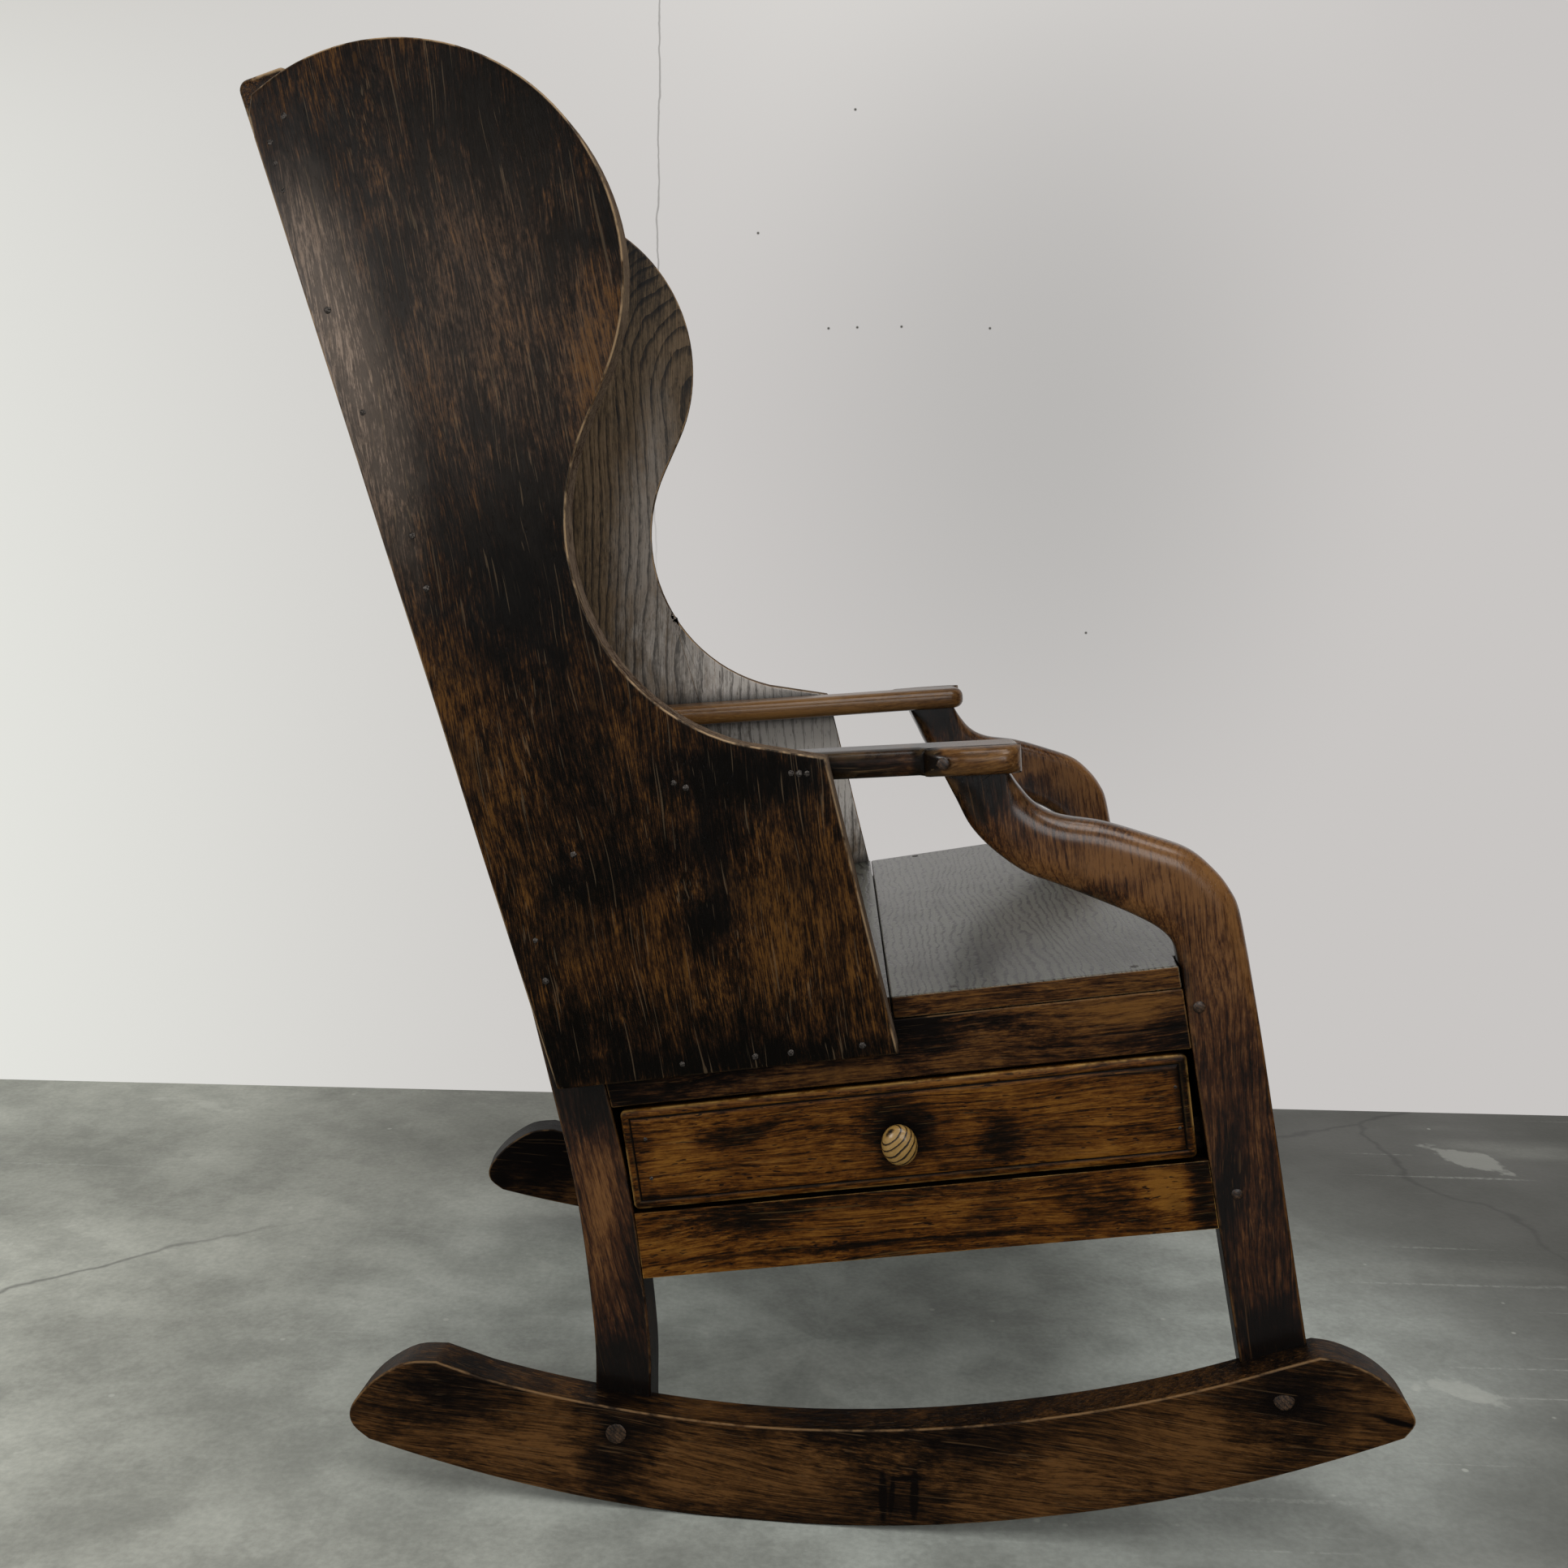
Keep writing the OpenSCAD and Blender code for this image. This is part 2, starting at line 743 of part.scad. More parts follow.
module back_board(i) {
    rear_cut = i > 0 ? board_gap / 2 : -20;
    front_cut = i < back_boards - 1 ? board_gap / 2 : -20;
    color(elm_dark)
        difference() {
            back_plane()
                translate([back_rail_t, -back_span / 2 + i * board_w + rear_cut, -board_foot])
                    cube([
                        back_board_t,
                        board_w - rear_cut - front_cut,
                        board_foot + crest_foot + crest_rebate - fit
                    ]);
            outside(rear_shoulder_v - fit);
            seat_plane()
                block(-reach, reach, -reach, rail_top);
        }
}

// Seat
seat_rake = back_rake - seat_pitch;
seat_rear_a = -back_reach + (crest_t + 2 * fit) / cos(seat_rake) + seat_t * tan(seat_rake);
seat_front_a = front_rail_a + front_rail_t + seat_nosing;
module seat_board(a0, a1) {
    color(elm_seat)
        difference() {
            seat_plane()
                block(a0, a1, rail_top, 0);
            outside(-fit);
            both_sides() {
                slab(-rear_post_t - fit, 1)
                    translate([2 * fit, 0])
                        rear_post_outline();
                slab(-front_post_t - fit, 1)
                    translate([-2 * fit, 0])
                        front_post_outline();
                translate([front_knee, -front_post_t - fit, 0])
                    cube([reach, reach, reach]);
            }
        }
}
module seat_bearer_shape() {
    color(elm_dark)
        difference() {
            seat_plane()
                block(seat_joint - seat_bearer_t / 2, seat_joint + seat_bearer_t / 2,
                    rail_top - seat_bearer_h, rail_top);
            outside(-rail_t - fit);
        }
}

// Arms
module arm_strip() {
    polygon([
        [-reach, arm_foot_z(-reach)], [reach, arm_foot_z(reach)], [reach, arm_top_z(reach)],
        [-reach, arm_top_z(-reach)]
    ]);
}
// The arm and its ear seen from above, with round front corners
module arm_plan() {
    hull_front = arm_front - arm_corner_r;
    polygon(concat(
        [[-reach, -arm_w]],
        arc([hull_front, -arm_w + arm_corner_r], arm_corner_r, -90, 0, 8),
        arc([hull_front, ear_t - arm_corner_r], arm_corner_r, 0, 90, 8),
        [[-reach, ear_t]]
    ));
}
// The ear seen from above, swelling out of the arm's face
ear_rear = arm_front - ear_l;
module ear_plan() {
    polygon(concat(
        [[ear_rear, -1]],
        smooth_line([
            [ear_rear, ear_t * 0.25], [ear_rear + ear_l * 0.06, ear_t * 0.5],
            [ear_rear + ear_l * 0.18, ear_t * 0.78], [ear_rear + ear_l * 0.38, ear_t]
        ], 3),
        [[reach, ear_t], [reach, -1]]
    ));
}
arm_peg = [ear_rear + 15, arm_foot_z(ear_rear + 15) + arm_t / 2];
grip_peg = [grip[0], grip[1] + 7];
arm_peg_l = arm_w * 2 / 3;
module arm_body(v0, v1, u0, u1) {
    intersection() {
        slab(v0, v1)
            intersection() {
                arm_strip();
                translate([u0, 0])
                    square([u1 - u0, reach]);
            }
        linear_extrude(reach)
            arm_plan();
    }
}
module arm() {
    color(oak_gold)
        difference() {
            arm_body(-arm_w, 0, -reach / 2, reach);
            slab(-arm_w - 1, 1) {
                translate([fit, 0])
                    rear_post_outline();
                translate(back_root)
                    rotate(back_rake)
                        translate([-reach, -reach])
                            square([reach + crest_t + 1, 2 * reach]);
            }
            front_post_tenon(fit);
            side_bore(arm_peg, -arm_peg_l, 1, rail_peg_r + peg_fit);
            side_bore(grip_peg, -arm_w - 1, 1, rail_peg_r - 1 + peg_fit);
        }
}
module arm_ear() {
    color(oak_gold)
        difference() {
            intersection() {
                arm_body(0, ear_t, ear_rear, reach);
                linear_extrude(reach)
                    ear_plan();
            }
            side_bore(arm_peg, -1, ear_t + 1, rail_peg_r + peg_fit);
            side_bore(grip_peg, -1, ear_t + 1, rail_peg_r - 1 + peg_fit);
        }
}

// Drawer, its sides square to the chair and its front in the plane of the side
drawer_rear_a = rear_shoulder + 5.5 + drawer_gap_rear;
drawer_front_a = front_shoulder - 1 - drawer_gap_front;
drawer_top = open_top - drawer_gap_top;
drawer_foot = open_foot + drawer_gap_foot;
box_rear_a = drawer_rear_a + drawer_lip_rear;
box_front_a = drawer_front_a - drawer_lip_front;
box_top = drawer_top - 2;
run_clear = 0.3;
knob_at = on_side(
    (drawer_rear_a + drawer_front_a) / 2 - knob_back,
    (drawer_top + drawer_foot) / 2 - knob_drop
);
module drawer_front_shape() {
    color(oak_gold)
        difference() {
            union() {
                slab(drawer_proud - drawer_front_t, drawer_proud - drawer_bead_d)
                    band(drawer_rear_a, drawer_front_a, drawer_foot, drawer_top);
                slab(drawer_proud - drawer_front_t, drawer_proud)
                    band(drawer_rear_a + drawer_bead_w, drawer_front_a - drawer_bead_w,
                        drawer_foot + drawer_bead_w, drawer_top - drawer_bead_w);
            }
            side_bore(knob_at, drawer_proud - drawer_front_t - 1, drawer_proud + 1,
                spigot_r + peg_fit);
        }
}
module drawer_knob_shape() {
    color("#7a5a30")
        translate([knob_at[0], drawer_proud, knob_at[1]])
            rotate([-90, 0, 0])
                rotate_extrude($fn = 64)
                    polygon(concat(
                        [[0, -drawer_front_t], [spigot_r, -drawer_front_t]],
                        [[spigot_r, 0], [knob_r * 0.62, 0]],
                        smooth_line([
                            [knob_r * 0.62, 0.5], [knob_r * 0.5, knob_l * 0.22],
                            [knob_r * 0.68, knob_l * 0.42], [knob_r * 0.96, knob_l * 0.58],
                            [knob_r, knob_l * 0.7], [knob_r * 0.86, knob_l * 0.88],
                            [knob_r * 0.5, knob_l * 0.98], [0, knob_l]
                        ], 3)
                    ));
}
module drawer_block(a0, a1, b0, b1, y1) {
    difference() {
        seat_plane()
            translate([a0, -reach, b0])
                cube([a1 - a0, reach + y1, b1 - b0]);
        outside(drawer_proud - drawer_front_t - 0.01);
    }
}
module drawer_side_rear_shape() {
    color(elm_mid)
        drawer_block(box_rear_a, box_rear_a + drawer_wall,
            drawer_foot + drawer_floor, box_top, drawer_back_y);
}
module drawer_side_front_shape() {
    color(elm_mid)
        drawer_block(box_front_a - drawer_wall, box_front_a,
            drawer_foot + drawer_floor, box_top, drawer_back_y);
}
module drawer_bottom_shape() {
    color(elm_mid)
        drawer_block(box_rear_a, box_front_a, drawer_foot, drawer_foot + drawer_floor, drawer_back_y);
}
module drawer_back_shape() {
    color(elm_mid)
        seat_plane()
            translate([box_rear_a + drawer_wall, drawer_back_y - drawer_wall, drawer_foot + drawer_floor])
                cube([
                    box_front_a - box_rear_a - 2 * drawer_wall, drawer_wall,
                    box_top - 6 - drawer_foot - drawer_floor
                ]);
}
runner_h = 22;
guide_h = 20;
runner_w = 24;
module drawer_runner_rear_shape() {
    color(elm_dark)
        difference() {
            seat_plane() {
                block(rear_lower_a + rear_lower_rail_t, box_rear_a + runner_w,
                    drawer_foot - run_clear - runner_h, drawer_foot - run_clear);
                block(rear_lower_a + rear_lower_rail_t, box_rear_a - 1.5,
                    drawer_foot - run_clear - 1, drawer_foot + guide_h);
            }
            outside(rear_shoulder_v - fit);
        }
}
module drawer_runner_front_shape() {
    color(elm_dark)
        difference() {
            seat_plane() {
                block(box_front_a - runner_w, front_rail_a,
                    drawer_foot - run_clear - runner_h, drawer_foot - run_clear);
                block(box_front_a + 1.5, front_rail_a,
                    drawer_foot - run_clear - 1, drawer_foot + guide_h);
            }
            outside(front_shoulder_v - fit);
        }
}

// Pegs and nails
module rocker_pegs_shape() {
    color(elm_dark)
        both_sides() {
            side_bore(rear_peg, -rear_post_t, rocker_proud + 0.5, rocker_peg_r);
            side_bore(front_peg, -front_post_t, rocker_proud + 0.5, rocker_peg_r);
        }
}
module rail_pegs_shape() {
    color(elm_dark)
        both_sides()
            for (place = [upper_peg, lower_peg])
                side_bore(place, cross_tenon_v + 1, 0.8, rail_peg_r);
}
module arm_pegs_shape() {
    color(oak_gold)
        both_sides() {
            side_bore(arm_peg, -arm_peg_l + 0.5, ear_t - 2.5, rail_peg_r);
            side_bore(grip_peg, -arm_w + 0.5, ear_t - 0.5, rail_peg_r - 1);
        }
}
module nail(place, v) {
    side_bore(place, v - nail_l, v - nail_head_t / 2, nail_r);
    side_bore(place, v - nail_head_t / 2, v + nail_head_t / 2, nail_head_r);
}
module wing_nails_shape() {
    color(iron)
        both_sides() {
            for (s = [40, 130, 250, 345, 470, 600, 690])
                nail(on_back(17, s), wing_t);
            for (a = [-110, -20, 60])
                nail(on_side(a, (rail_top - side_drop) / 2), wing_t);
            for (u = [-150, -60, 14])
                nail([u, arm_top_z(u) - arm_t / 2], wing_t);
        }
}
module back_nail(y, s) {
    back_plane()
        translate([crest_t - nail_l + 12, y, s])
            rotate([0, 90, 0]) {
                cylinder(h = nail_l - 12, r = nail_r, $fn = 24);
                translate([0, 0, nail_l - 12 - nail_head_t / 2])
                    cylinder(h = nail_head_t, r = nail_head_r, $fn = 24);
            }
}
back_nail_rows = [
    low_rail_s + back_rail_h / 2, mid_rail_s + back_rail_h / 2, crest_foot + crest_rebate / 2
];
module back_nails_shape() {
    color(iron)
        for (i = [0:back_boards - 1])
            for (side = [0.25, 0.75])
                for (s = back_nail_rows)
                    back_nail((-back_span / 2 + (i + side) * board_w) * 0.93, s);
}
module seat_nails_shape() {
    color(iron)
        both_sides()
            for (a = [-72, 22, 150, 290])
                translate([on_side(a, 0)[0], -rail_t / 2, on_side(a, 0)[1]])
                    rotate([0, -side_pitch, 0]) {
                        translate([0, 0, -nail_l])
                            cylinder(h = nail_l, r = nail_r, $fn = 24);
                        translate([0, 0, -nail_head_t / 2])
                            cylinder(h = nail_head_t, r = nail_head_r, $fn = 24);
                    }
}
module drawer_nails_shape() {
    color(iron)
        right_side()
            for (a = [box_rear_a + drawer_wall / 2, box_front_a - drawer_wall / 2])
                for (share = [0.3, 0.7])
                    nail(on_side(a, drawer_foot + share * (drawer_top - drawer_foot)), drawer_proud);
}

// Every piece in its place on the floor
module stand() {
    translate([-rest_back, 0, 0])
        children();
}
module rocker_right() {
    stand()
        right_side()
            rocker();
}
module rocker_left() {
    stand()
        left_side()
            rocker();
}
module rear_post_right() {
    stand()
        right_side()
            rear_post();
}
module rear_post_left() {
    stand()
        left_side()
            rear_post();
}
module front_post_right() {
    stand()
        right_side()
            front_post();
}
module front_post_left() {
    stand()
        left_side()
            front_post();
}
module wing_board_right() {
    stand()
        right_side()
            wing_board();
}
module wing_board_left() {
    stand()
        left_side()
            wing_board();
}
module wing_front_board_right() {
    stand()
        right_side()
            wing_front_board();
}
module wing_front_board_left() {
    stand()
        left_side()
            wing_front_board();
}
module arm_right() {
    stand()
        right_side()
            arm();
}
module arm_left() {
    stand()
        left_side()
            arm();
}
module arm_ear_right() {
    stand()
        right_side()
            arm_ear();
}
module arm_ear_left() {
    stand()
        left_side()
            arm_ear();
}
module upper_rail_right() {
    stand()
        right_side()
            upper_rail();
}
module upper_rail_left() {
    stand()
        left_side()
            difference() {
                upper_rail();
                side_infill_board(fit);
            }
}
module lower_rail_right() {
    stand()
        right_side()
            lower_rail();
}
module lower_rail_left() {
    stand()
        left_side()
            difference() {
                lower_rail();
                side_infill_board(fit);
            }
}
module side_infill_left() {
    stand()
        left_side()
            color(elm_dark)
                side_infill_board(0);
}
module front_upper_rail() {
    stand()
        front_upper_rail_shape();
}
module front_lower_rail() {
    stand()
        front_lower_rail_shape();
}
module front_infill() {
    stand()
        front_infill_shape();
}
module rear_upper_rail() {
    stand()
        rear_upper_rail_shape();
}
module rear_lower_rail() {
    stand()
        rear_lower_rail_shape();
}
module rear_infill() {
    stand()
        rear_infill_shape();
}
module crest_rail() {
    stand()
        crest_rail_shape();
}
module back_mid_rail() {
    stand()
        back_rail(mid_rail_s, mid_rail_s + back_rail_h);
}
module back_low_rail() {
    stand()
        back_rail(low_rail_s, low_rail_s + back_rail_h);
}
module back_board_1() {
    stand()
        back_board(0);
}
module back_board_2() {
    stand()
        back_board(1);
}
module back_board_3() {
    stand()
        back_board(2);
}
module back_board_4() {
    stand()
        back_board(3);
}
module seat_bearer() {
    stand()
        seat_bearer_shape();
}
module seat_front_board() {
    stand()
        seat_board(seat_joint + board_gap / 2, seat_front_a);
}
module seat_rear_board() {
    stand()
        seat_board(seat_rear_a, seat_joint - board_gap / 2);
}
module drawer_runner_front() {
    stand()
        drawer_runner_front_shape();
}
module drawer_runner_rear() {
    stand()
        drawer_runner_rear_shape();
}
module drawer_front() {
    stand()
        right_side()
            drawer_front_shape();
}
module drawer_side_front() {
    stand()
        drawer_side_front_shape();
}
module drawer_side_rear() {
    stand()
        drawer_side_rear_shape();
}
module drawer_back() {
    stand()
        drawer_back_shape();
}
module drawer_bottom() {
    stand()
        drawer_bottom_shape();
}
module drawer_knob() {
    stand()
        right_side()
            drawer_knob_shape();
}
module rocker_pegs() {
    stand()
        rocker_pegs_shape();
}
module rail_pegs() {
    stand()
        rail_pegs_shape();
}
module arm_pegs() {
    stand()
        arm_pegs_shape();
}
module wing_nails() {
    stand()
        wing_nails_shape();
}
module back_nails() {
    stand()
        back_nails_shape();
}
module seat_nails() {
    stand()
        seat_nails_shape();
}
module drawer_nails() {
    stand()
        drawer_nails_shape();
}

rocker_right();
rocker_left();
rear_post_right();
rear_post_left();
front_post_right();
front_post_left();
wing_board_right();
wing_board_left();
wing_front_board_right();
wing_front_board_left();
arm_right();
arm_left();
arm_ear_right();
arm_ear_left();
upper_rail_right();
upper_rail_left();
lower_rail_right();
lower_rail_left();
side_infill_left();
front_upper_rail();
front_lower_rail();
front_infill();
rear_upper_rail();
rear_lower_rail();
rear_infill();
crest_rail();
back_mid_rail();
back_low_rail();
back_board_1();
back_board_2();
back_board_3();
back_board_4();
seat_bearer();
seat_front_board();
seat_rear_board();
drawer_runner_front();
drawer_runner_rear();
drawer_front();
drawer_side_front();
drawer_side_rear();
drawer_back();
drawer_bottom();
drawer_knob();
rocker_pegs();
rail_pegs();
arm_pegs();
wing_nails();
back_nails();
seat_nails();
drawer_nails();
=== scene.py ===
"""The looks of a lambing chair: a winged rocking chair of old waxed elm and fruitwood.

Sizes are in millimetres, in the planes that the chair is built in. A side lies in an
upright plane that turns out a little towards the front: u runs forward along it, v
outwards from the posts' outer faces, and z up.
"""
import logging
import math
from dataclasses import dataclass, replace
from enum import Enum
from typing import Callable, Iterable, Sequence

import bmesh
import bpy
import numpy as np
from mathutils import Euler, Matrix, Vector, noise


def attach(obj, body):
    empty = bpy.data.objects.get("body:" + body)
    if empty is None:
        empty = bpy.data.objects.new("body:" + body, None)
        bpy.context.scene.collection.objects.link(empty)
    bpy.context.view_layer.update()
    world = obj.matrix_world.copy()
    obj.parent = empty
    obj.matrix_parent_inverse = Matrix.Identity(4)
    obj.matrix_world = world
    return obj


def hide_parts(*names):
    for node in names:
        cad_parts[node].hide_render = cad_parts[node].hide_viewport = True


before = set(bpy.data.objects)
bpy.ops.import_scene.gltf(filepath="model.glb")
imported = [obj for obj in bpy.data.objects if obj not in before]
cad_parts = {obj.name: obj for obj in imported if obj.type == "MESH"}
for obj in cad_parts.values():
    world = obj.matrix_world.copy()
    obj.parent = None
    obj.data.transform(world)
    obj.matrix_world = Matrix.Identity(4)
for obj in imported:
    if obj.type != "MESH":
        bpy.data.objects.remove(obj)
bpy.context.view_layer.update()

LOG = logging.getLogger("lambing_chair")
MM = 0.001
Point = tuple[float, float]
Outline = list[Point]


class Slot(Enum):
    """The record's material slots."""

    ROCKER = "rocker_wood"
    POST = "post_wood"
    WING = "wing_wood"
    ARM = "arm_wood"
    DRAWER = "drawer_wood"
    SEAT = "seat_wood"
    BACK = "back_wood"
    RAIL = "rail_wood"
    INNER = "inner_wood"
    PEG = "peg_wood"
    KNOB = "knob_wood"
    IRON = "iron"


class Body(Enum):
    """The chair's two moving bodies."""

    CHAIR = "chair"
    DRAWER = "drawer"


class Side(Enum):
    """A side of the chair, with the sign of y there."""

    RIGHT = -1
    LEFT = 1

    @property
    def word(self) -> str:
        """The side's name as the nodes have it."""
        return self.name.lower()


# Measures


@dataclass(frozen=True)
class Stance:
    """How the chair stands: the sizes that its pieces share."""

    half_w: float = 280.0
    toe: float = math.radians(4.57)
    rest_back: float = 48.76
    seat_h: float = 418.0
    seat_pitch: float = math.radians(9.2)
    back_rake: float = math.radians(17.7)
    back_reach: float = 175.0
    arm_h: float = 621.0
    arm_pitch: float = math.radians(4.7)
    arm_t: float = 22.0
    crest_foot: float = 716.0

    @property
    def side_pitch(self) -> float:
        """The rails' rise as it is measured along a side."""
        return math.atan(math.tan(self.seat_pitch) * math.cos(self.toe))

    def on_side(self, a: float, b: float) -> Point:
        """A place on a side, a along the seat and b square to it."""
        c, s = math.cos(self.side_pitch), math.sin(self.side_pitch)
        return a * c - b * s, self.seat_h + a * s + b * c

    def on_back(self, n: float, s: float) -> Point:
        """A place on a side, given from the back's line.

        Args:
            n: how far in front of the line it is.
            s: how far up along the line it is.

        Returns:
            The place (u, z).
        """
        root = self.on_side(-self.back_reach, 0.0)
        c, k = math.cos(self.back_rake), math.sin(self.back_rake)
        return root[0] + n * c - s * k, root[1] + n * k + s * c

    def off_back(self, u: float, z: float) -> Point:
        """Where a place on a side lies from the back's line.

        Args:
            u: how far forward the place is.
            z: its height.

        Returns:
            How far in front of the line it is, and how far up along it.
        """
        root = self.on_back(0.0, 0.0)
        c, k = math.cos(self.back_rake), math.sin(self.back_rake)
        return (u - root[0]) * c + (z - root[1]) * k, (z - root[1]) * c - (u - root[0]) * k

    def arm_top(self, u: float) -> float:
        """Height of the arms' top."""
        return self.arm_h + u * math.tan(self.arm_pitch)

    def arm_foot(self, u: float) -> float:
        """Height of the arms' underside."""
        return self.arm_top(u) - self.arm_t / math.cos(self.arm_pitch)


STANCE = Stance()


@dataclass(frozen=True)
class Plane:
    """A flat frame that a piece is drawn in, and how it lies on the chair.

    A point of the row frame, in millimetres, is scaled, turned and moved into the plane.
    """

    scale: Vector
    turn: Matrix
    shift: Vector

    def out(self, points: np.ndarray) -> np.ndarray:
        """Takes points of the plane into the row frame.

        Args:
            points: n by 3, in millimetres.

        Returns:
            n by 3, in metres.
        """
        turn = np.array(self.turn)
        local = (points - np.array(self.shift)) @ turn
        return local / np.array(self.scale) * MM


def side_plane(side: Side, pitch: float = 0.0, at: Point = (0.0, 0.0)) -> Plane:
    """The plane of a side, with its first axis raised by pitch about a place.

    Args:
        side: which side.
        pitch: the rise of the first axis, in radians.
        at: the place (u, z) that becomes the plane's origin.

    Returns:
        The plane, with axes along the side, outwards, and up.
    """
    c, s = math.cos(STANCE.toe), math.sin(STANCE.toe)
    toe = Matrix(((c, s, 0), (-s, c, 0), (0, 0, 1)))
    cp, sp = math.cos(pitch), math.sin(pitch)
    rise = Matrix(((cp, 0, sp), (0, 1, 0), (-sp, 0, cp)))
    turn = rise @ toe
    origin = toe @ Vector((-STANCE.rest_back, STANCE.half_w, 0)) + Vector((at[0], 0, at[1]))
    return Plane(Vector((1, side.value, 1)), turn, -(rise @ origin))


def middle_plane(pitch: float = 0.0, at: tuple[float, float, float] = (0, 0, 0)) -> Plane:
    """A plane square to the chair, with x raised by pitch about a place in the row frame.

    Args:
        pitch: the rise of the first axis, in radians.
        at: the place that becomes the plane's origin.

    Returns:
        The plane.
    """
    c, s = math.cos(pitch), math.sin(pitch)
    turn = Matrix(((c, 0, s), (0, 1, 0), (-s, 0, c)))
    origin = Vector((at[0] - STANCE.rest_back, at[1], at[2]))
    return Plane(Vector((1, 1, 1)), turn, -(turn @ origin))


SEAT_PLANE = middle_plane(STANCE.seat_pitch, (0, 0, STANCE.seat_h))


# Colours and nodes


# Types and settings that many nodes share
MATH = "ShaderNodeMath"
VECTOR_MATH = "ShaderNodeVectorMath"
MAPPING = "ShaderNodeMapping"
NOISE = "ShaderNodeTexNoise"
RANGE = "ShaderNodeMapRange"
MIX = "ShaderNodeMix"
PLUS = {"operation": "ADD"}
TIMES = {"operation": "MULTIPLY"}
TIMES_PLUS = {"operation": "MULTIPLY_ADD"}
LENGTH = {"operation": "LENGTH"}
PLACED = {"vector_type": "TEXTURE"}
SOFT = {"interpolation_type": "SMOOTHSTEP"}
COLOUR = {"data_type": "RGBA"}


def linear(code: str) -> tuple[float, float, float, float]:
    """Turns an sRGB hex colour into linear values.

    Args:
        code: the colour as # and six hex digits.

    Returns:
        Red, green, blue and an alpha of 1.
    """
    parts = [int(code[i:i + 2], 16) / 255 for i in (1, 3, 5)]
    r, g, b = (p / 12.92 if p <= 0.04045 else ((p + 0.055) / 1.055) ** 2.4 for p in parts)
    return r, g, b, 1.0


def add(tree: bpy.types.NodeTree, kind: str, settings: dict | None = None,
        links: dict | None = None) -> bpy.types.Node:
    """Adds a node with its settings and links.

    Args:
        tree: the tree that gets the node.
        kind: the node's type.
        settings: attributes of the node.
        links: inputs by name or number, each a value to set, or a socket to link, or a node
            whose first output in use is linked.

    Returns:
        The new node.
    """
    made = tree.nodes.new(kind)
    for name, value in (settings or {}).items():
        setattr(made, name, value)
    for key, value in (links or {}).items():
        if isinstance(value, bpy.types.Node):
            value = next(output for output in value.outputs if output.enabled)
        if isinstance(value, bpy.types.NodeSocket):
            tree.links.new(value, made.inputs[key])
        else:
            made.inputs[key].default_value = value
    return made


def blank(name: str) -> bpy.types.Material:
    """Makes a material with an empty node tree.

    Args:
        name: the material's name.

    Returns:
        The material.
    """
    material = bpy.data.materials.new(name)
    material.use_nodes = True
    material.node_tree.nodes.clear()
    return material


@dataclass(frozen=True)
class Stain:
    """A soft patch on a piece, placed in the plane of the piece in millimetres."""

    u: float
    z: float
    reach_u: float
    reach_z: float
    depth: float
    turn: float = 0.0
    torn: float = 1.3


# How far the pattern moves for each step of a seed, in millimetres
SEED_STEPS = (731.0, 37.0, 53.0)
# A patch's reach across the board, so that both faces have it
THROUGH = 1e5
# Where a patch has faded out, as a share of its reach
PATCH_REACH = 1.3
# The width of one ring of the wave texture at a scale of 1
WAVE_SPAN = 0.314
WOOD_IOR, WAX_IOR = 1.48, 1.45
# Colours of the pits, of dirt in the moulding's groove, and of the painted shade that ambient occlusion
# puts in hollows and joints
PIT_CODE, DIRT_CODE, SHADE_CODE = "#080503", "#0a0603", "#050302"


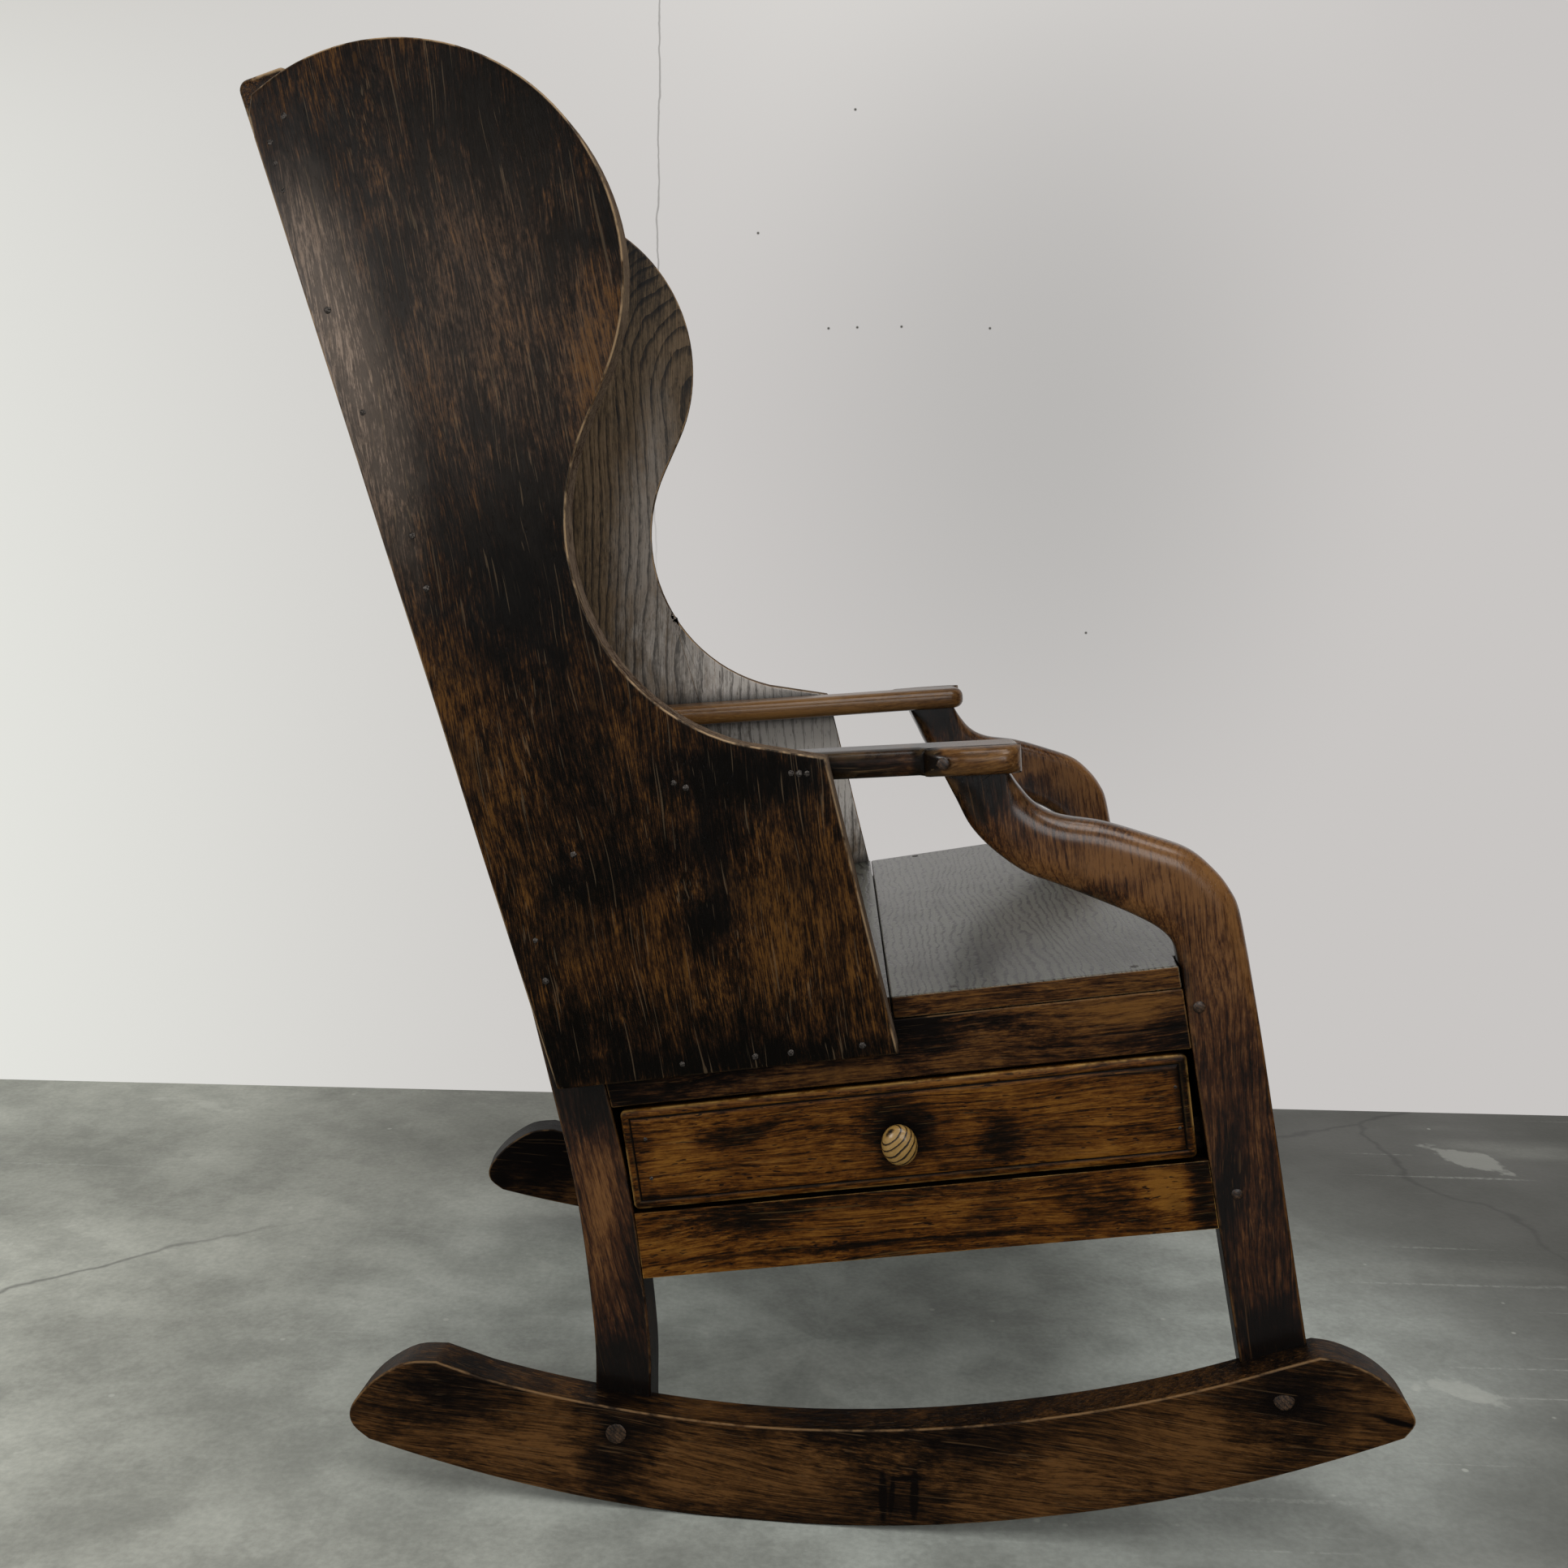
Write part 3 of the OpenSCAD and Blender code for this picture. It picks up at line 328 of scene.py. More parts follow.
@dataclass(frozen=True)
class WaxedWood:
    """Old wood, planed and scraped by hand, then waxed and rubbed for two centuries.

    The wax gives a soft gloss over the grain; dirt in it blackens the groove of the drawer's moulding,
    painted shade from ambient occlusion blackens the hollows and joints, and hands and clothes rub the
    arrises back to paler wood.
    """

    name: str
    deep: str
    dark: str
    body: str
    light: str
    worn: str
    ring: float = 9.0
    ring_share: float = 0.35
    ripple: float = 0.0
    fibre: float = 1.2
    fibre_share: float = 0.6
    streak_share: float = 0.6
    mottle_share: float = 0.4
    fleck_share: float = 0.3
    patch: float = 110.0
    patch_share: float = 0.6
    black: float = 0.5
    pits: float = 0.35
    scuffs: float = 0.12
    edge: float = 0.8
    rough: float = 0.42
    wax: float = 0.3
    wax_rough: float = 0.25
    swell: float = 0.5
    shine: float = 0.5
    # The colour of painted sheen: patches of it stand in for a reflection in the wax
    bloom: str = "#7d6c5e"
    lift: float = 0.0
    relief: float = 0.05
    pith: Point = (40.0, -70.0)
    arch: Point = (0.0, 0.0)

    def make(self, name: str, plane: Plane, grain: float = 0.0, upright: bool = False,
             seed: float = 0.0, stains: Sequence[Stain] = (), rubs: Sequence[Stain] = (),
             sheen_patches: Sequence[Stain] = (), across: bool = False) -> bpy.types.Material:
        """Builds the wood for one piece.

        Args:
            name: the piece's name, which follows the wood's in the material's name.
            plane: the plane that the piece and its patches are drawn in.
            grain: the angle from the plane's first axis to the grain, towards its third.
            upright: whether the grain runs along the plane's third axis before that turn.
            seed: how far the pattern is moved, so that no two pieces are alike.
            stains: darker patches.
            rubs: paler patches.
            sheen_patches: patches of painted grey sheen, standing in for a reflection in the wax.
            across: whether the grain runs along the plane's second axis.

        Returns:
            The material.
        """
        material = blank(f"{self.name}_{name}")
        tree = material.node_tree
        spot = add(tree, MAPPING, {}, {
            "Vector": add(tree, "ShaderNodeTexCoord").outputs["Object"], "Location": plane.shift,
            "Rotation": plane.turn.to_euler("XYZ"), "Scale": plane.scale / MM})
        lean = grain + (math.pi / 2 if upright else 0.0)
        turn = Euler((0, 0, math.pi / 2)) if across else Euler((0, lean, 0))
        move = Vector([seed * step for step in SEED_STEPS])
        wood = add(tree, MAPPING, {}, {"Vector": spot, "Rotation": turn, "Location": move})
        layer = self.layers(tree, wood, move)

        def patches(marks: Sequence[Stain], value: bpy.types.Node | float,
                    sign: float) -> bpy.types.Node | float:
            """Adds listed soft patches to a number.

            Args:
                marks: the patches.
                value: the number.
                sign: 1 to raise it, -1 to lower it.

            Returns:
                The last node, or the number itself where there are no marks.
            """
            for mark in marks:
                here = add(tree, MAPPING, PLACED, {
                    "Vector": spot, "Location": (mark.u, 0, mark.z),
                    "Rotation": (0, math.radians(-mark.turn), 0),
                    "Scale": (mark.reach_u, THROUGH, mark.reach_z)})
                far = add(tree, VECTOR_MATH, LENGTH, {0: here})
                torn = add(tree, MATH, TIMES_PLUS, {0: layer["mottle"], 1: mark.torn, 2: far})
                soft = add(tree, RANGE, SOFT, {
                    0: torn, 1: 0.5 * mark.torn, 2: 0.5 * mark.torn + PATCH_REACH, 3: 1.0, 4: 0.0})
                value = add(tree, MATH, TIMES_PLUS, {0: soft, 1: sign * mark.depth, 2: value})
            return value

        shares = {"fibre": self.fibre_share, "streak": self.streak_share, "patch": self.patch_share,
                  "mottle": self.mottle_share, "fleck": self.fleck_share}
        middle = 0.5 + self.lift + 0.3 * self.ring_share - sum(shares.values())
        shares = {"ring": -self.ring_share, **{part: 2.0 * share for part, share in shares.items()}}
        sums = {}
        for result, value, weights in (
                ("tone", middle, shares),
                ("height", 0.0, {"fibre": 0.14, "ring": -self.relief, "pits": -0.14, "mottle": 0.14,
                                 "scuff": -0.05, "streak": 0.14, "wave": 2.2 * self.swell}),
                ("sheen", self.rough - 0.14, {"mottle": 0.16, "streak": 0.16, "soot": 0.1,
                                              "wear": -0.1}),
                ("hollow", layer["open"], {"mottle": 0.5})):
            for part, share in weights.items():
                value = add(tree, MATH, TIMES_PLUS, {0: layer[part], 1: share, 2: value})
            sums[result] = value
        tone = patches(rubs, patches(stains, sums["tone"], -1.0), 1.0)
        ramp = add(tree, "ShaderNodeValToRGB", {}, {0: tone})
        stops = ((0.08, self.deep), (0.32, self.dark), (0.52, self.body), (0.85, self.light))
        elements = ramp.color_ramp.elements
        elements[0].position, elements[1].position = stops[0][0], stops[-1][0]
        for position, _ in stops[1:3]:
            elements.new(position)
        for element, (_, code) in zip(elements, stops):
            element.color = linear(code)
        lit = add(tree, RANGE, SOFT, {0: tone, 1: 0.2, 2: 0.7, 3: 0.3, 4: 1.0})
        # Painted shade: ambient occlusion blackens the hollows, the joints and the faces under other parts
        painted_shade = add(tree, RANGE, SOFT, {0: sums["hollow"], 1: 0.7, 2: 1.2, 3: 0.92, 4: 0.0})
        colour = ramp
        # Over the ramp's colour go soot, painted sheen where sheen patches are given, pits, scuffs, worn
        # arrises, dirt in the moulding's groove and painted shade from ambient occlusion
        for share, amount, code in (
                (layer["soot"], 1.0, self.deep), (patches(sheen_patches, 0.0, 1.0), lit, self.bloom),
                (layer["pits"], self.pits, PIT_CODE), (layer["scuff"], self.scuffs, self.worn),
                (layer["wear"], layer["rubbed"], self.worn), (layer["dirt"], 1.0, DIRT_CODE),
                (painted_shade, 1.0, SHADE_CODE)):
            share = add(tree, MATH, TIMES, {0: share, 1: amount})
            colour = add(tree, MIX, COLOUR, {0: share, 6: colour, 7: linear(code)})
        bump = add(tree, "ShaderNodeBump", {}, {
            "Height": sums["height"], "Distance": MM, "Strength": 1.0})
        shader = add(tree, "ShaderNodeBsdfPrincipled", {}, {
            "Base Color": colour, "Roughness": sums["sheen"], "Normal": bump, "IOR": WOOD_IOR,
            "Specular IOR Level": self.shine, "Coat Weight": self.wax,
            "Coat Roughness": self.wax_rough, "Coat IOR": WAX_IOR})
        add(tree, "ShaderNodeOutputMaterial", {}, {"Surface": shader})
        return material

    def layers(self, tree: bpy.types.NodeTree, wood: bpy.types.Node,
               move: Vector) -> dict[str, bpy.types.Node | bpy.types.NodeSocket]:
        """Builds the patterns that the wood is mixed from.

        Args:
            tree: the material's tree.
            wood: coordinates in millimetres, with the grain along the first axis.
            move: how far those coordinates were moved.

        Returns:
            Numbers by the name of what they stand for.
        """
        slow = add(tree, NOISE, {}, {
            "Vector": add(tree, MAPPING, {}, {"Vector": wood, "Scale": (0.0035, 0.012, 0.012)}),
            "Scale": 1.0, "Detail": 2.0})
        sway = add(tree, VECTOR_MATH, TIMES_PLUS, {
            0: slow.outputs["Color"], 1: (0.0, 34.0, 34.0), 2: (0.0, -17.0, -17.0)})
        bent = add(tree, VECTOR_MATH, PLUS, {0: wood, 1: sway})
        made = {}
        for part, stretch, shift, scale, detail, rough in (
                ("ripple", (0.5, 1.0, 1.0), 3.0, 0.06, 3.0, 0.65),
                ("fibre", (0.03, 1.0, 1.0), 0.0, 1.0 / self.fibre, 3.0, 0.75),
                ("streak", (0.05, 1.0, 1.0), 41.0, 0.36, 4.0, 0.75),
                ("pits", (0.22, 1.0, 1.0), 17.0, 0.5, 1.0, 0.5),
                ("patch", (0.42, 1.0, 1.0), 83.0, 1.0 / self.patch, 5.0, 0.62),
                ("smoke", (0.5, 1.0, 1.0), 211.0, 1.0 / (0.6 * self.patch), 6.0, 0.66),
                ("scuff", (0.015, 0.9, 0.9), 5.0, 0.6, 1.0, 0.5),
                ("mottle", (0.45, 1.0, 1.0), 29.0, 0.07, 7.0, 0.72),
                ("fleck", (0.3, 1.0, 1.0), 67.0, 0.42, 4.0, 0.75),
                ("rub", (0.6, 1.0, 1.0), 57.0, 0.035, 4.0, 0.7)):
            at = add(tree, MAPPING, {}, {
                "Vector": bent, "Scale": stretch, "Location": (shift, 0.7 * shift, 1.3 * shift)})
            made[part] = add(tree, NOISE, {}, {
                "Vector": at, "Scale": scale, "Detail": detail, "Roughness": rough})
        made["wave"] = add(tree, NOISE, {}, {
            "Vector": wood, "Scale": 0.014, "Detail": 1.0, "Roughness": 0.4})
        lined = add(tree, VECTOR_MATH, TIMES_PLUS, {
            0: made["ripple"].outputs["Color"], 1: (0.0, 5 * self.ripple, 5 * self.ripple), 2: bent})
        centre = (0.0, *self.pith)
        if self.arch[1]:
            centre = (-move.x, self.pith[0] - move.y, self.pith[1] - move.z)
            rise = add(tree, "ShaderNodeSeparateXYZ", {}, {0: lined})
            for operation, value in (("SUBTRACT", move.x + self.arch[0]), ("MAXIMUM", 0.0),
                                     ("POWER", 2.0), ("DIVIDE", self.arch[1])):
                rise = add(tree, MATH, {"operation": operation}, {0: rise, 1: value})
            deeper = add(tree, "ShaderNodeCombineXYZ", {}, {1: rise})
            lined = add(tree, VECTOR_MATH, PLUS, {0: lined, 1: deeper})
        rings = add(tree, "ShaderNodeTexWave", {
            "wave_type": "RINGS", "rings_direction": "X", "wave_profile": "SAW"}, {
            "Vector": add(tree, MAPPING, {}, {"Vector": lined, "Location": centre}),
            "Scale": WAVE_SPAN / self.ring, "Distortion": 1.6, "Detail": 3.0,
            "Detail Scale": 0.8, "Detail Roughness": 0.6})
        for part, value, low, high, to_low, to_high in (
                ("ring", rings.outputs["Fac"], 0.55, 0.98, 0.0, 1.0),
                ("pits", made["pits"], 0.66, 0.72, 0.0, 1.0),
                ("scuff", made["scuff"], 0.67, 0.71, 0.0, 1.0),
                ("soot", made["smoke"], 0.5, 0.66, 0.0, self.black),
                ("rubbed", made["rub"], 0.42, 0.56, 0.1 * self.edge, self.edge)):
            made[part] = add(tree, RANGE, SOFT, {0: value, 1: low, 2: high, 3: to_low, 4: to_high})
        for part in ("wear", "dirt"):
            made[part] = add(tree, "ShaderNodeAttribute", {"attribute_name": part}).outputs["Fac"]
        # Ambient occlusion, which drives the painted shade in hollows and joints
        hollow = add(tree, "ShaderNodeAmbientOcclusion", {"samples": 4}, {"Distance": 0.016})
        made["open"] = hollow.outputs["AO"]
        return made


# Elm wing boards, near black in the wax, with brown rubbed through along the grain
ELM_WING = WaxedWood("elm_wing", "#050301", "#140a03", "#271506", "#503310", "#9a8060",
                     ring=7.0, ring_share=0.08, fibre=1.0, fibre_share=0.95, streak_share=0.4,
                     patch=110.0, patch_share=0.6, mottle_share=0.45, lift=-0.08, black=0.6, pits=0.25,
                     rough=0.36, wax=0.12, wax_rough=0.2, shine=0.1, edge=0.95, fleck_share=0.55)
# Elm inside the back and the wings, where the rings show as dark lines under a grey shine, which on the
# wings is partly painted in its sheen colour
ELM_INSIDE = WaxedWood("elm_inside", "#0c0704", "#241a0e", "#433420", "#63503a", "#8d6c48",
                       ring=8.5, ring_share=0.32, ripple=0.6, fibre_share=0.5, streak_share=0.35,
                       mottle_share=0.2, patch_share=0.3, black=0.1, rough=0.4, wax=0.1,
                       wax_rough=0.3, shine=0.2, edge=0.4, bloom="#b5afa8")
# The wings' inner faces, cut so that the rings make tall arches
ELM_ARCHED = replace(ELM_INSIDE, name="elm_arched", pith=(38.0, -88.0), arch=(940.0, 420.0))
# The sides' edges, planed across and dry, without gloss; they are greyer than the faces partly as dry wood
# and partly as painted sheen standing in for the pale wall's reflection
ELM_EDGE = replace(ELM_WING, name="elm_edge", dark="#382c23", body="#5c4e42", light="#75644f",
                   rough=0.6, fibre_share=0.4, fleck_share=0.2, mottle_share=0.3, patch_share=0.3,
                   black=0.25, lift=0.0, wax=0.0, shine=0.0)
# Elm seat boards, dark and polished by use, with wavy lines
ELM_SEAT = WaxedWood("elm_seat", "#060604", "#12130f", "#2c2d25", "#4b4d42", "#6a5a48",
                     ring=4.2, ring_share=0.8, ripple=1.6, fibre_share=0.3, streak_share=0.2,
                     patch_share=0.3, black=0.3, pits=0.2, rough=0.32, wax=0.5, wax_rough=0.16,
                     edge=0.4, relief=0.5)
# Fruitwood posts, red brown with even stripes
FRUIT_POST = WaxedWood("fruit_post", "#090402", "#1b0c04", "#361c09", "#634120", "#8a6238",
                       ring=4.3, ring_share=0.17, ripple=0.4, fibre=1.0, fibre_share=0.5,
                       streak_share=0.35, patch=90.0, patch_share=0.35, mottle_share=0.3,
                       black=0.3, pits=0.2, rough=0.3, wax=0.6, wax_rough=0.19, shine=0.3,
                       edge=0.25)
# Fruitwood arms, tan where hands have lain
FRUIT_ARM = WaxedWood("fruit_arm", "#0e0703", "#26150a", "#4a2f15", "#704e28", "#a5845a",
                      ring=5.0, ring_share=0.1, ripple=0.8, fibre_share=0.3, streak_share=0.22,
                      patch=60.0, patch_share=0.3, mottle_share=0.25, black=0.12, pits=0.15,
                      rough=0.30, wax=0.6, wax_rough=0.2, shine=0.1, edge=0.1)
# Oak drawer front and lower rail, golden with dark pits in lines
OAK_GOLD = WaxedWood("oak_gold", "#0c0602", "#241203", "#482706", "#6c4616", "#94713c",
                     ring=6.0, ring_share=0.15, fibre_share=0.6, streak_share=0.45, patch=75.0,
                     patch_share=0.4, mottle_share=0.4, black=0.3, pits=0.85, rough=0.4, wax=0.05,
                     wax_rough=0.3, shine=0.1, edge=1.0)
# Rails of the frame, brown going to black at the joints
ELM_RAIL = WaxedWood("elm_rail", "#080402", "#1b0d04", "#38200b", "#5d3d19", "#7d5d38",
                     ring=6.0, ring_share=0.15, fibre_share=0.55, streak_share=0.55, patch=80.0,
                     patch_share=0.5, mottle_share=0.45, black=0.45, pits=0.4, rough=0.4, wax=0.05,
                     wax_rough=0.26, shine=0.1, edge=0.6)
# Rockers, blotched, with the top arris rubbed pale
ELM_ROCKER = WaxedWood("elm_rocker", "#090402", "#190e05", "#321e0a", "#56391b", "#8a6a45",
                       ring=8.0, ring_share=0.1, fibre_share=0.6, streak_share=0.4, patch=95.0,
                       patch_share=0.5, mottle_share=0.4, black=0.45, pits=0.35, rough=0.46,
                       wax=0.05, wax_rough=0.35, shine=0.1, edge=0.55)
# Inner boards that were never polished, dry and brown
DRY_BOARD = WaxedWood("dry_board", "#1a110a", "#3a2818", "#5c4229", "#7d6042", "#8b6b4a",
                      ring=9.0, ring_share=0.3, fibre_share=0.4, patch_share=0.4, black=0.35,
                      rough=0.68, wax=0.0, shine=0.3, edge=0.4)
# End grain of pegs, set in dark rings
PEG_END = WaxedWood("peg_end", "#080402", "#1a0f06", "#2e1e10", "#4c3622", "#6b5035",
                    ring=3.0, ring_share=0.3, fibre_share=0.4, patch=20.0, patch_share=0.4,
                    black=0.2, rough=0.4, edge=0.3)
# The turned knob, pale, cut across its rings
ASH_KNOB = WaxedWood("ash_knob", "#160d05", "#4a3412", "#785a28", "#8f703c", "#c7a870",
                     ring=3.8, ring_share=1.0, fibre_share=0.2, streak_share=0.2, patch=30.0,
                     patch_share=0.3, black=0.1, pits=0.1, rough=0.36, wax=0.5, wax_rough=0.2,
                     edge=0.0, pith=(30.0, -14.0))


@dataclass(frozen=True)
class ForgedIron:
    """Hand-forged nail iron, dark with wax, its high facets rubbed grey."""

    dull: str = "#16120f"
    bright: str = "#6d6660"

    def make(self, name: str) -> bpy.types.Material:
        """Builds the iron of the nail heads.

        Args:
            name: the material's name.

        Returns:
            The material.
        """
        material = blank(name)
        tree = material.node_tree
        coords = add(tree, "ShaderNodeTexCoord").outputs["Object"]
        grit = add(tree, NOISE, {}, {"Vector": coords, "Scale": 900.0, "Detail": 3.0})
        ramp = add(tree, "ShaderNodeValToRGB", {}, {0: grit})
        stops = ((0.35, self.dull), (0.75, self.bright))
        for element, (position, code) in zip(ramp.color_ramp.elements, stops):
            element.position = position
            element.color = linear(code)
        bump = add(tree, "ShaderNodeBump", {}, {"Height": grit, "Distance": 0.0003, "Strength": 0.8})
        shader = add(tree, "ShaderNodeBsdfPrincipled", {}, {
            "Base Color": ramp, "Metallic": 0.7, "Roughness": 0.45, "Normal": bump})
        add(tree, "ShaderNodeOutputMaterial", {}, {"Surface": shader})
        return material


# Outlines


# Shorter stretches of an outline are left out
LEAST_STRETCH = 0.05


def smooth_line(points: Sequence[Point], steps: int = 5) -> Outline:
    """A smooth line through a few points.

    Args:
        points: the places that it goes through.
        steps: how many stretches lie between two of them.

    Returns:
        The line's points.
    """
    made: Outline = []
    last = len(points) - 1
    for i in range(last):
        p0, p1, p2, p3 = (np.array(points[min(max(k, 0), last)]) for k in (i - 1, i, i + 1, i + 2))
        for k in range(steps):
            t = k / steps
            q = 0.5 * (2 * p1 + (p2 - p0) * t + (2 * p0 - 5 * p1 + 4 * p2 - p3) * t * t
                       + (3 * p1 - p0 - 3 * p2 + p3) * t ** 3)
            made.append((float(q[0]), float(q[1])))
    made.append((float(points[last][0]), float(points[last][1])))
    return made


def arc(centre: Point, r: float, a0: float, a1: float, steps: int) -> Outline:
    """Points on an arc, its angles in radians."""
    angles = (a0 + (a1 - a0) * k / steps for k in range(steps + 1))
    return [(centre[0] + r * math.cos(a), centre[1] + r * math.sin(a)) for a in angles]


def meet(p: Point, q: Point, r: Point, s: Point) -> Point:
    """Where the line through p and q meets the line through r and s.

    Args:
        p: a place on the first line.
        q: another place on it.
        r: a place on the second line.
        s: another place on it.

    Returns:
        The place that both lines share.
    """
    d, e = (q[0] - p[0], q[1] - p[1]), (s[0] - r[0], s[1] - r[1])
    t = ((r[0] - p[0]) * e[1] - (r[1] - p[1]) * e[0]) / (d[0] * e[1] - d[1] * e[0])
    return p[0] + d[0] * t, p[1] + d[1] * t


def shifted(base: Point, offsets: Iterable[Point]) -> Outline:
    """Places given by their distance from a base."""
    return [(base[0] + x, base[1] + z) for x, z in offsets]


def refined(outline: Sequence[Point], step: float) -> np.ndarray:
    """Adds points so that no stretch of a closed outline is longer than step.

    Args:
        outline: the outline's points.
        step: the greatest length of a stretch.

    Returns:
        n by 2 places that run anticlockwise.
    """
    made = []
    for i, p in enumerate(outline):
        q = outline[(i + 1) % len(outline)]
        length = math.hypot(q[0] - p[0], q[1] - p[1])
        if length < LEAST_STRETCH:
            continue
        n = max(1, math.ceil(length / step))
        made += [(p[0] + (q[0] - p[0]) * k / n, p[1] + (q[1] - p[1]) * k / n) for k in range(n)]
    ring = np.array(made)
    area = np.sum(ring[:, 0] * np.roll(ring[:, 1], -1) - ring[:, 1] * np.roll(ring[:, 0], -1))
    return ring if area > 0 else ring[::-1]


# Meshes

Rim = list[tuple[float, ...]]
Level = float | Callable[[np.ndarray], np.ndarray]
Radius = float | Callable[[float, float], float]
# How far from its roundings a board's side starts, and the height of the side's steps
RIM_END, SIDE_STEP = 2.0, 12.0
# Smaller faces, in square metres, aren't cut into cells
LEAST_CELL = 3e-4
# The pattern by which hand-planed faces stray from flat, and its seed
STRAY_SCALE, STRAY_MOVE, STRAY_SEED = 7.0, Vector((3.1, 1.7, 9.2)), 1
# The least angle, in radians, and the least length of an edge that is eased
SHARP_ANGLE, LEAST_EDGE = 0.6, 1.8 * MM


def round_rim(segments: int = 4, flat: float = 3.0, deep: float = 1.0) -> Rim:
    """The rounding of an edge.

    Args:
        segments: steps across the rounding.
        flat: how far in the face's own row lies.
        deep: the rounding's depth as a share of its width.

    Returns:
        Rows of inset share, fixed inset, depth share, wear and dirt, from the face outwards.
    """
    rows: Rim = [(1.0, flat, 0.0, 0.0, 0.0)]
    for k in range(segments + 1):
        a = math.pi / 2 * k / segments
        rows.append((1 - math.sin(a), 0.0, deep * (1 - math.cos(a)), math.sin(2 * a) ** 1.5, 0.0))
    return rows


@dataclass
class Slab:
    """A board cut to an outline, with rounded edges that carry their wear."""

    name: str
    outline: Sequence[Point]
    low: Level
    high: Level
    plane: Plane
    high_r: Radius = 2.0
    low_r: Radius = 2.0
    step: float = 9.0
    segments: int = 4
    cell: float = 45.0
    high_rim: Rim | None = None
    ring_at: Callable[[float], np.ndarray] | None = None
    worn: Callable[[float, float], float] | None = None
    wander: float = 0.7

    @staticmethod
    def radii(ring: np.ndarray, r: Radius) -> np.ndarray:
        """The rounding at each point of the outline.

        Args:
            ring: the outline's points.
            r: one radius, or a function of a place.

        Returns:
            A radius for each point.
        """
        if callable(r):
            return np.array([r(float(x), float(z)) for x, z in ring])
        return np.full(len(ring), float(r))

    def build(self) -> bpy.types.Object:
        """Makes the board's mesh in its place.

        Returns:
            An object at the origin, with a wear attribute on its points.
        """
        ring = self.ring_at(0.0) if self.ring_at else refined(self.outline, self.step)
        before, after = ring - np.roll(ring, 1, 0), np.roll(ring, -1, 0) - ring
        before /= np.linalg.norm(before, axis=1)[:, None]
        after /= np.linalg.norm(after, axis=1)[:, None]
        way = before + after
        way /= np.linalg.norm(way, axis=1)[:, None]
        inward = np.stack([-way[:, 1], way[:, 0]], 1)
        inward /= np.clip(np.sum(way * after, 1), 0.5, 1.0)[:, None]
        high = self.high(ring) if callable(self.high) else np.full(len(ring), float(self.high))
        low = self.low(ring) if callable(self.low) else np.full(len(ring), float(self.low))

        def rim(rows: Rim, r: np.ndarray, face: np.ndarray, sign: float) -> list:
            """Loops of one rounded edge, from the face to the side.

            Args:
                rows: the rounding's rows.
                r: the radius at each point.
                face: the face's level at each point.
                sign: 1 for the high face, -1 for the low one.

            Returns:
                For each row its places, levels, wear and dirt.
            """
            made = []
            for share, extra, depth, wear, dirt in rows:
                flat = (self.ring_at(extra + share * float(r[0])) if self.ring_at
                        else ring + inward * (share * r + extra)[:, None])
                made.append((flat, face - sign * depth * r, wear, dirt))
            return made

        high_r, low_r = self.radii(ring, self.high_r), self.radii(ring, self.low_r)
        high_rows = self.high_rim or round_rim(self.segments)
        loops = rim(high_rows, high_r, high, 1.0)
        top = high - high_rows[-1][2] * high_r - RIM_END
        foot = low + low_r + RIM_END
        thick = float(np.min(top - foot))
        if thick > 1:
            count = max(1, int(thick / SIDE_STEP))
            loops += [(ring, top + (foot - top) * k / count, 0.0, 0.0) for k in range(count + 1)]
        loops += rim(round_rim(self.segments), low_r, low, -1.0)[::-1]

        mesh = bmesh.new()
        wear_layer = mesh.verts.layers.float.new("wear")
        dirt_layer = mesh.verts.layers.float.new("dirt")
        rows_made = []
        worn = [self.worn(float(x), float(z)) if self.worn else 1.0 for x, z in ring]
        for flat, level, wear, dirt in loops:
            points = self.plane.out(np.column_stack([flat[:, 0], level, flat[:, 1]]))
            row = []
            for p, share in zip(points, worn):
                vert = mesh.verts.new(p)
                vert[wear_layer], vert[dirt_layer] = wear * share, dirt
                row.append(vert)
            rows_made.append(row)
        count = len(ring)
        for a, b in zip(rows_made, rows_made[1:]):
            for i in range(count):
                j = (i + 1) % count
                mesh.faces.new((a[i], a[j], b[j], b[i]))
        mesh.faces.new(rows_made[0][::-1])
        mesh.faces.new(rows_made[-1])
        bmesh.ops.recalc_face_normals(mesh, faces=mesh.faces[:])
        self.cut_cells(mesh, ring)
        return finish_mesh(mesh, self.name, self.wander)

    def cut_cells(self, mesh: bmesh.types.BMesh, ring: np.ndarray) -> None:
        """Cuts the large faces into cells, so that they can wander a little from flat.

        Args:
            mesh: the board's mesh.
            ring: the outline's points.
        """
        low, high = ring.min(0), ring.max(0)
        turn = np.array(self.plane.turn)
        for axis, row in ((0, 0), (1, 2)):
            normal = Vector(turn[row] / np.array(self.plane.scale)).normalized()
            for level in np.arange(low[axis] + self.cell / 2, high[axis], self.cell):
                spot = [0.0, 0.0, 0.0]
                spot[row] = float(level)
                point = Vector(self.plane.out(np.array([spot]))[0])
                faces = [f for f in mesh.faces if f.calc_area() > LEAST_CELL]
                parts = list(dict.fromkeys(g for f in faces for g in (*f.verts, *f.edges, f)))
                bmesh.ops.bisect_plane(mesh, geom=parts, plane_co=point, plane_no=normal)


def linked(name: str, data: bpy.types.ID) -> bpy.types.Object:
    """Puts data into the scene as an object.

    Args:
        name: the object's name.
        data: its mesh, lamp or camera.

    Returns:
        The object.
    """
    made = bpy.data.objects.new(name, data)
    bpy.context.scene.collection.objects.link(made)
    return made


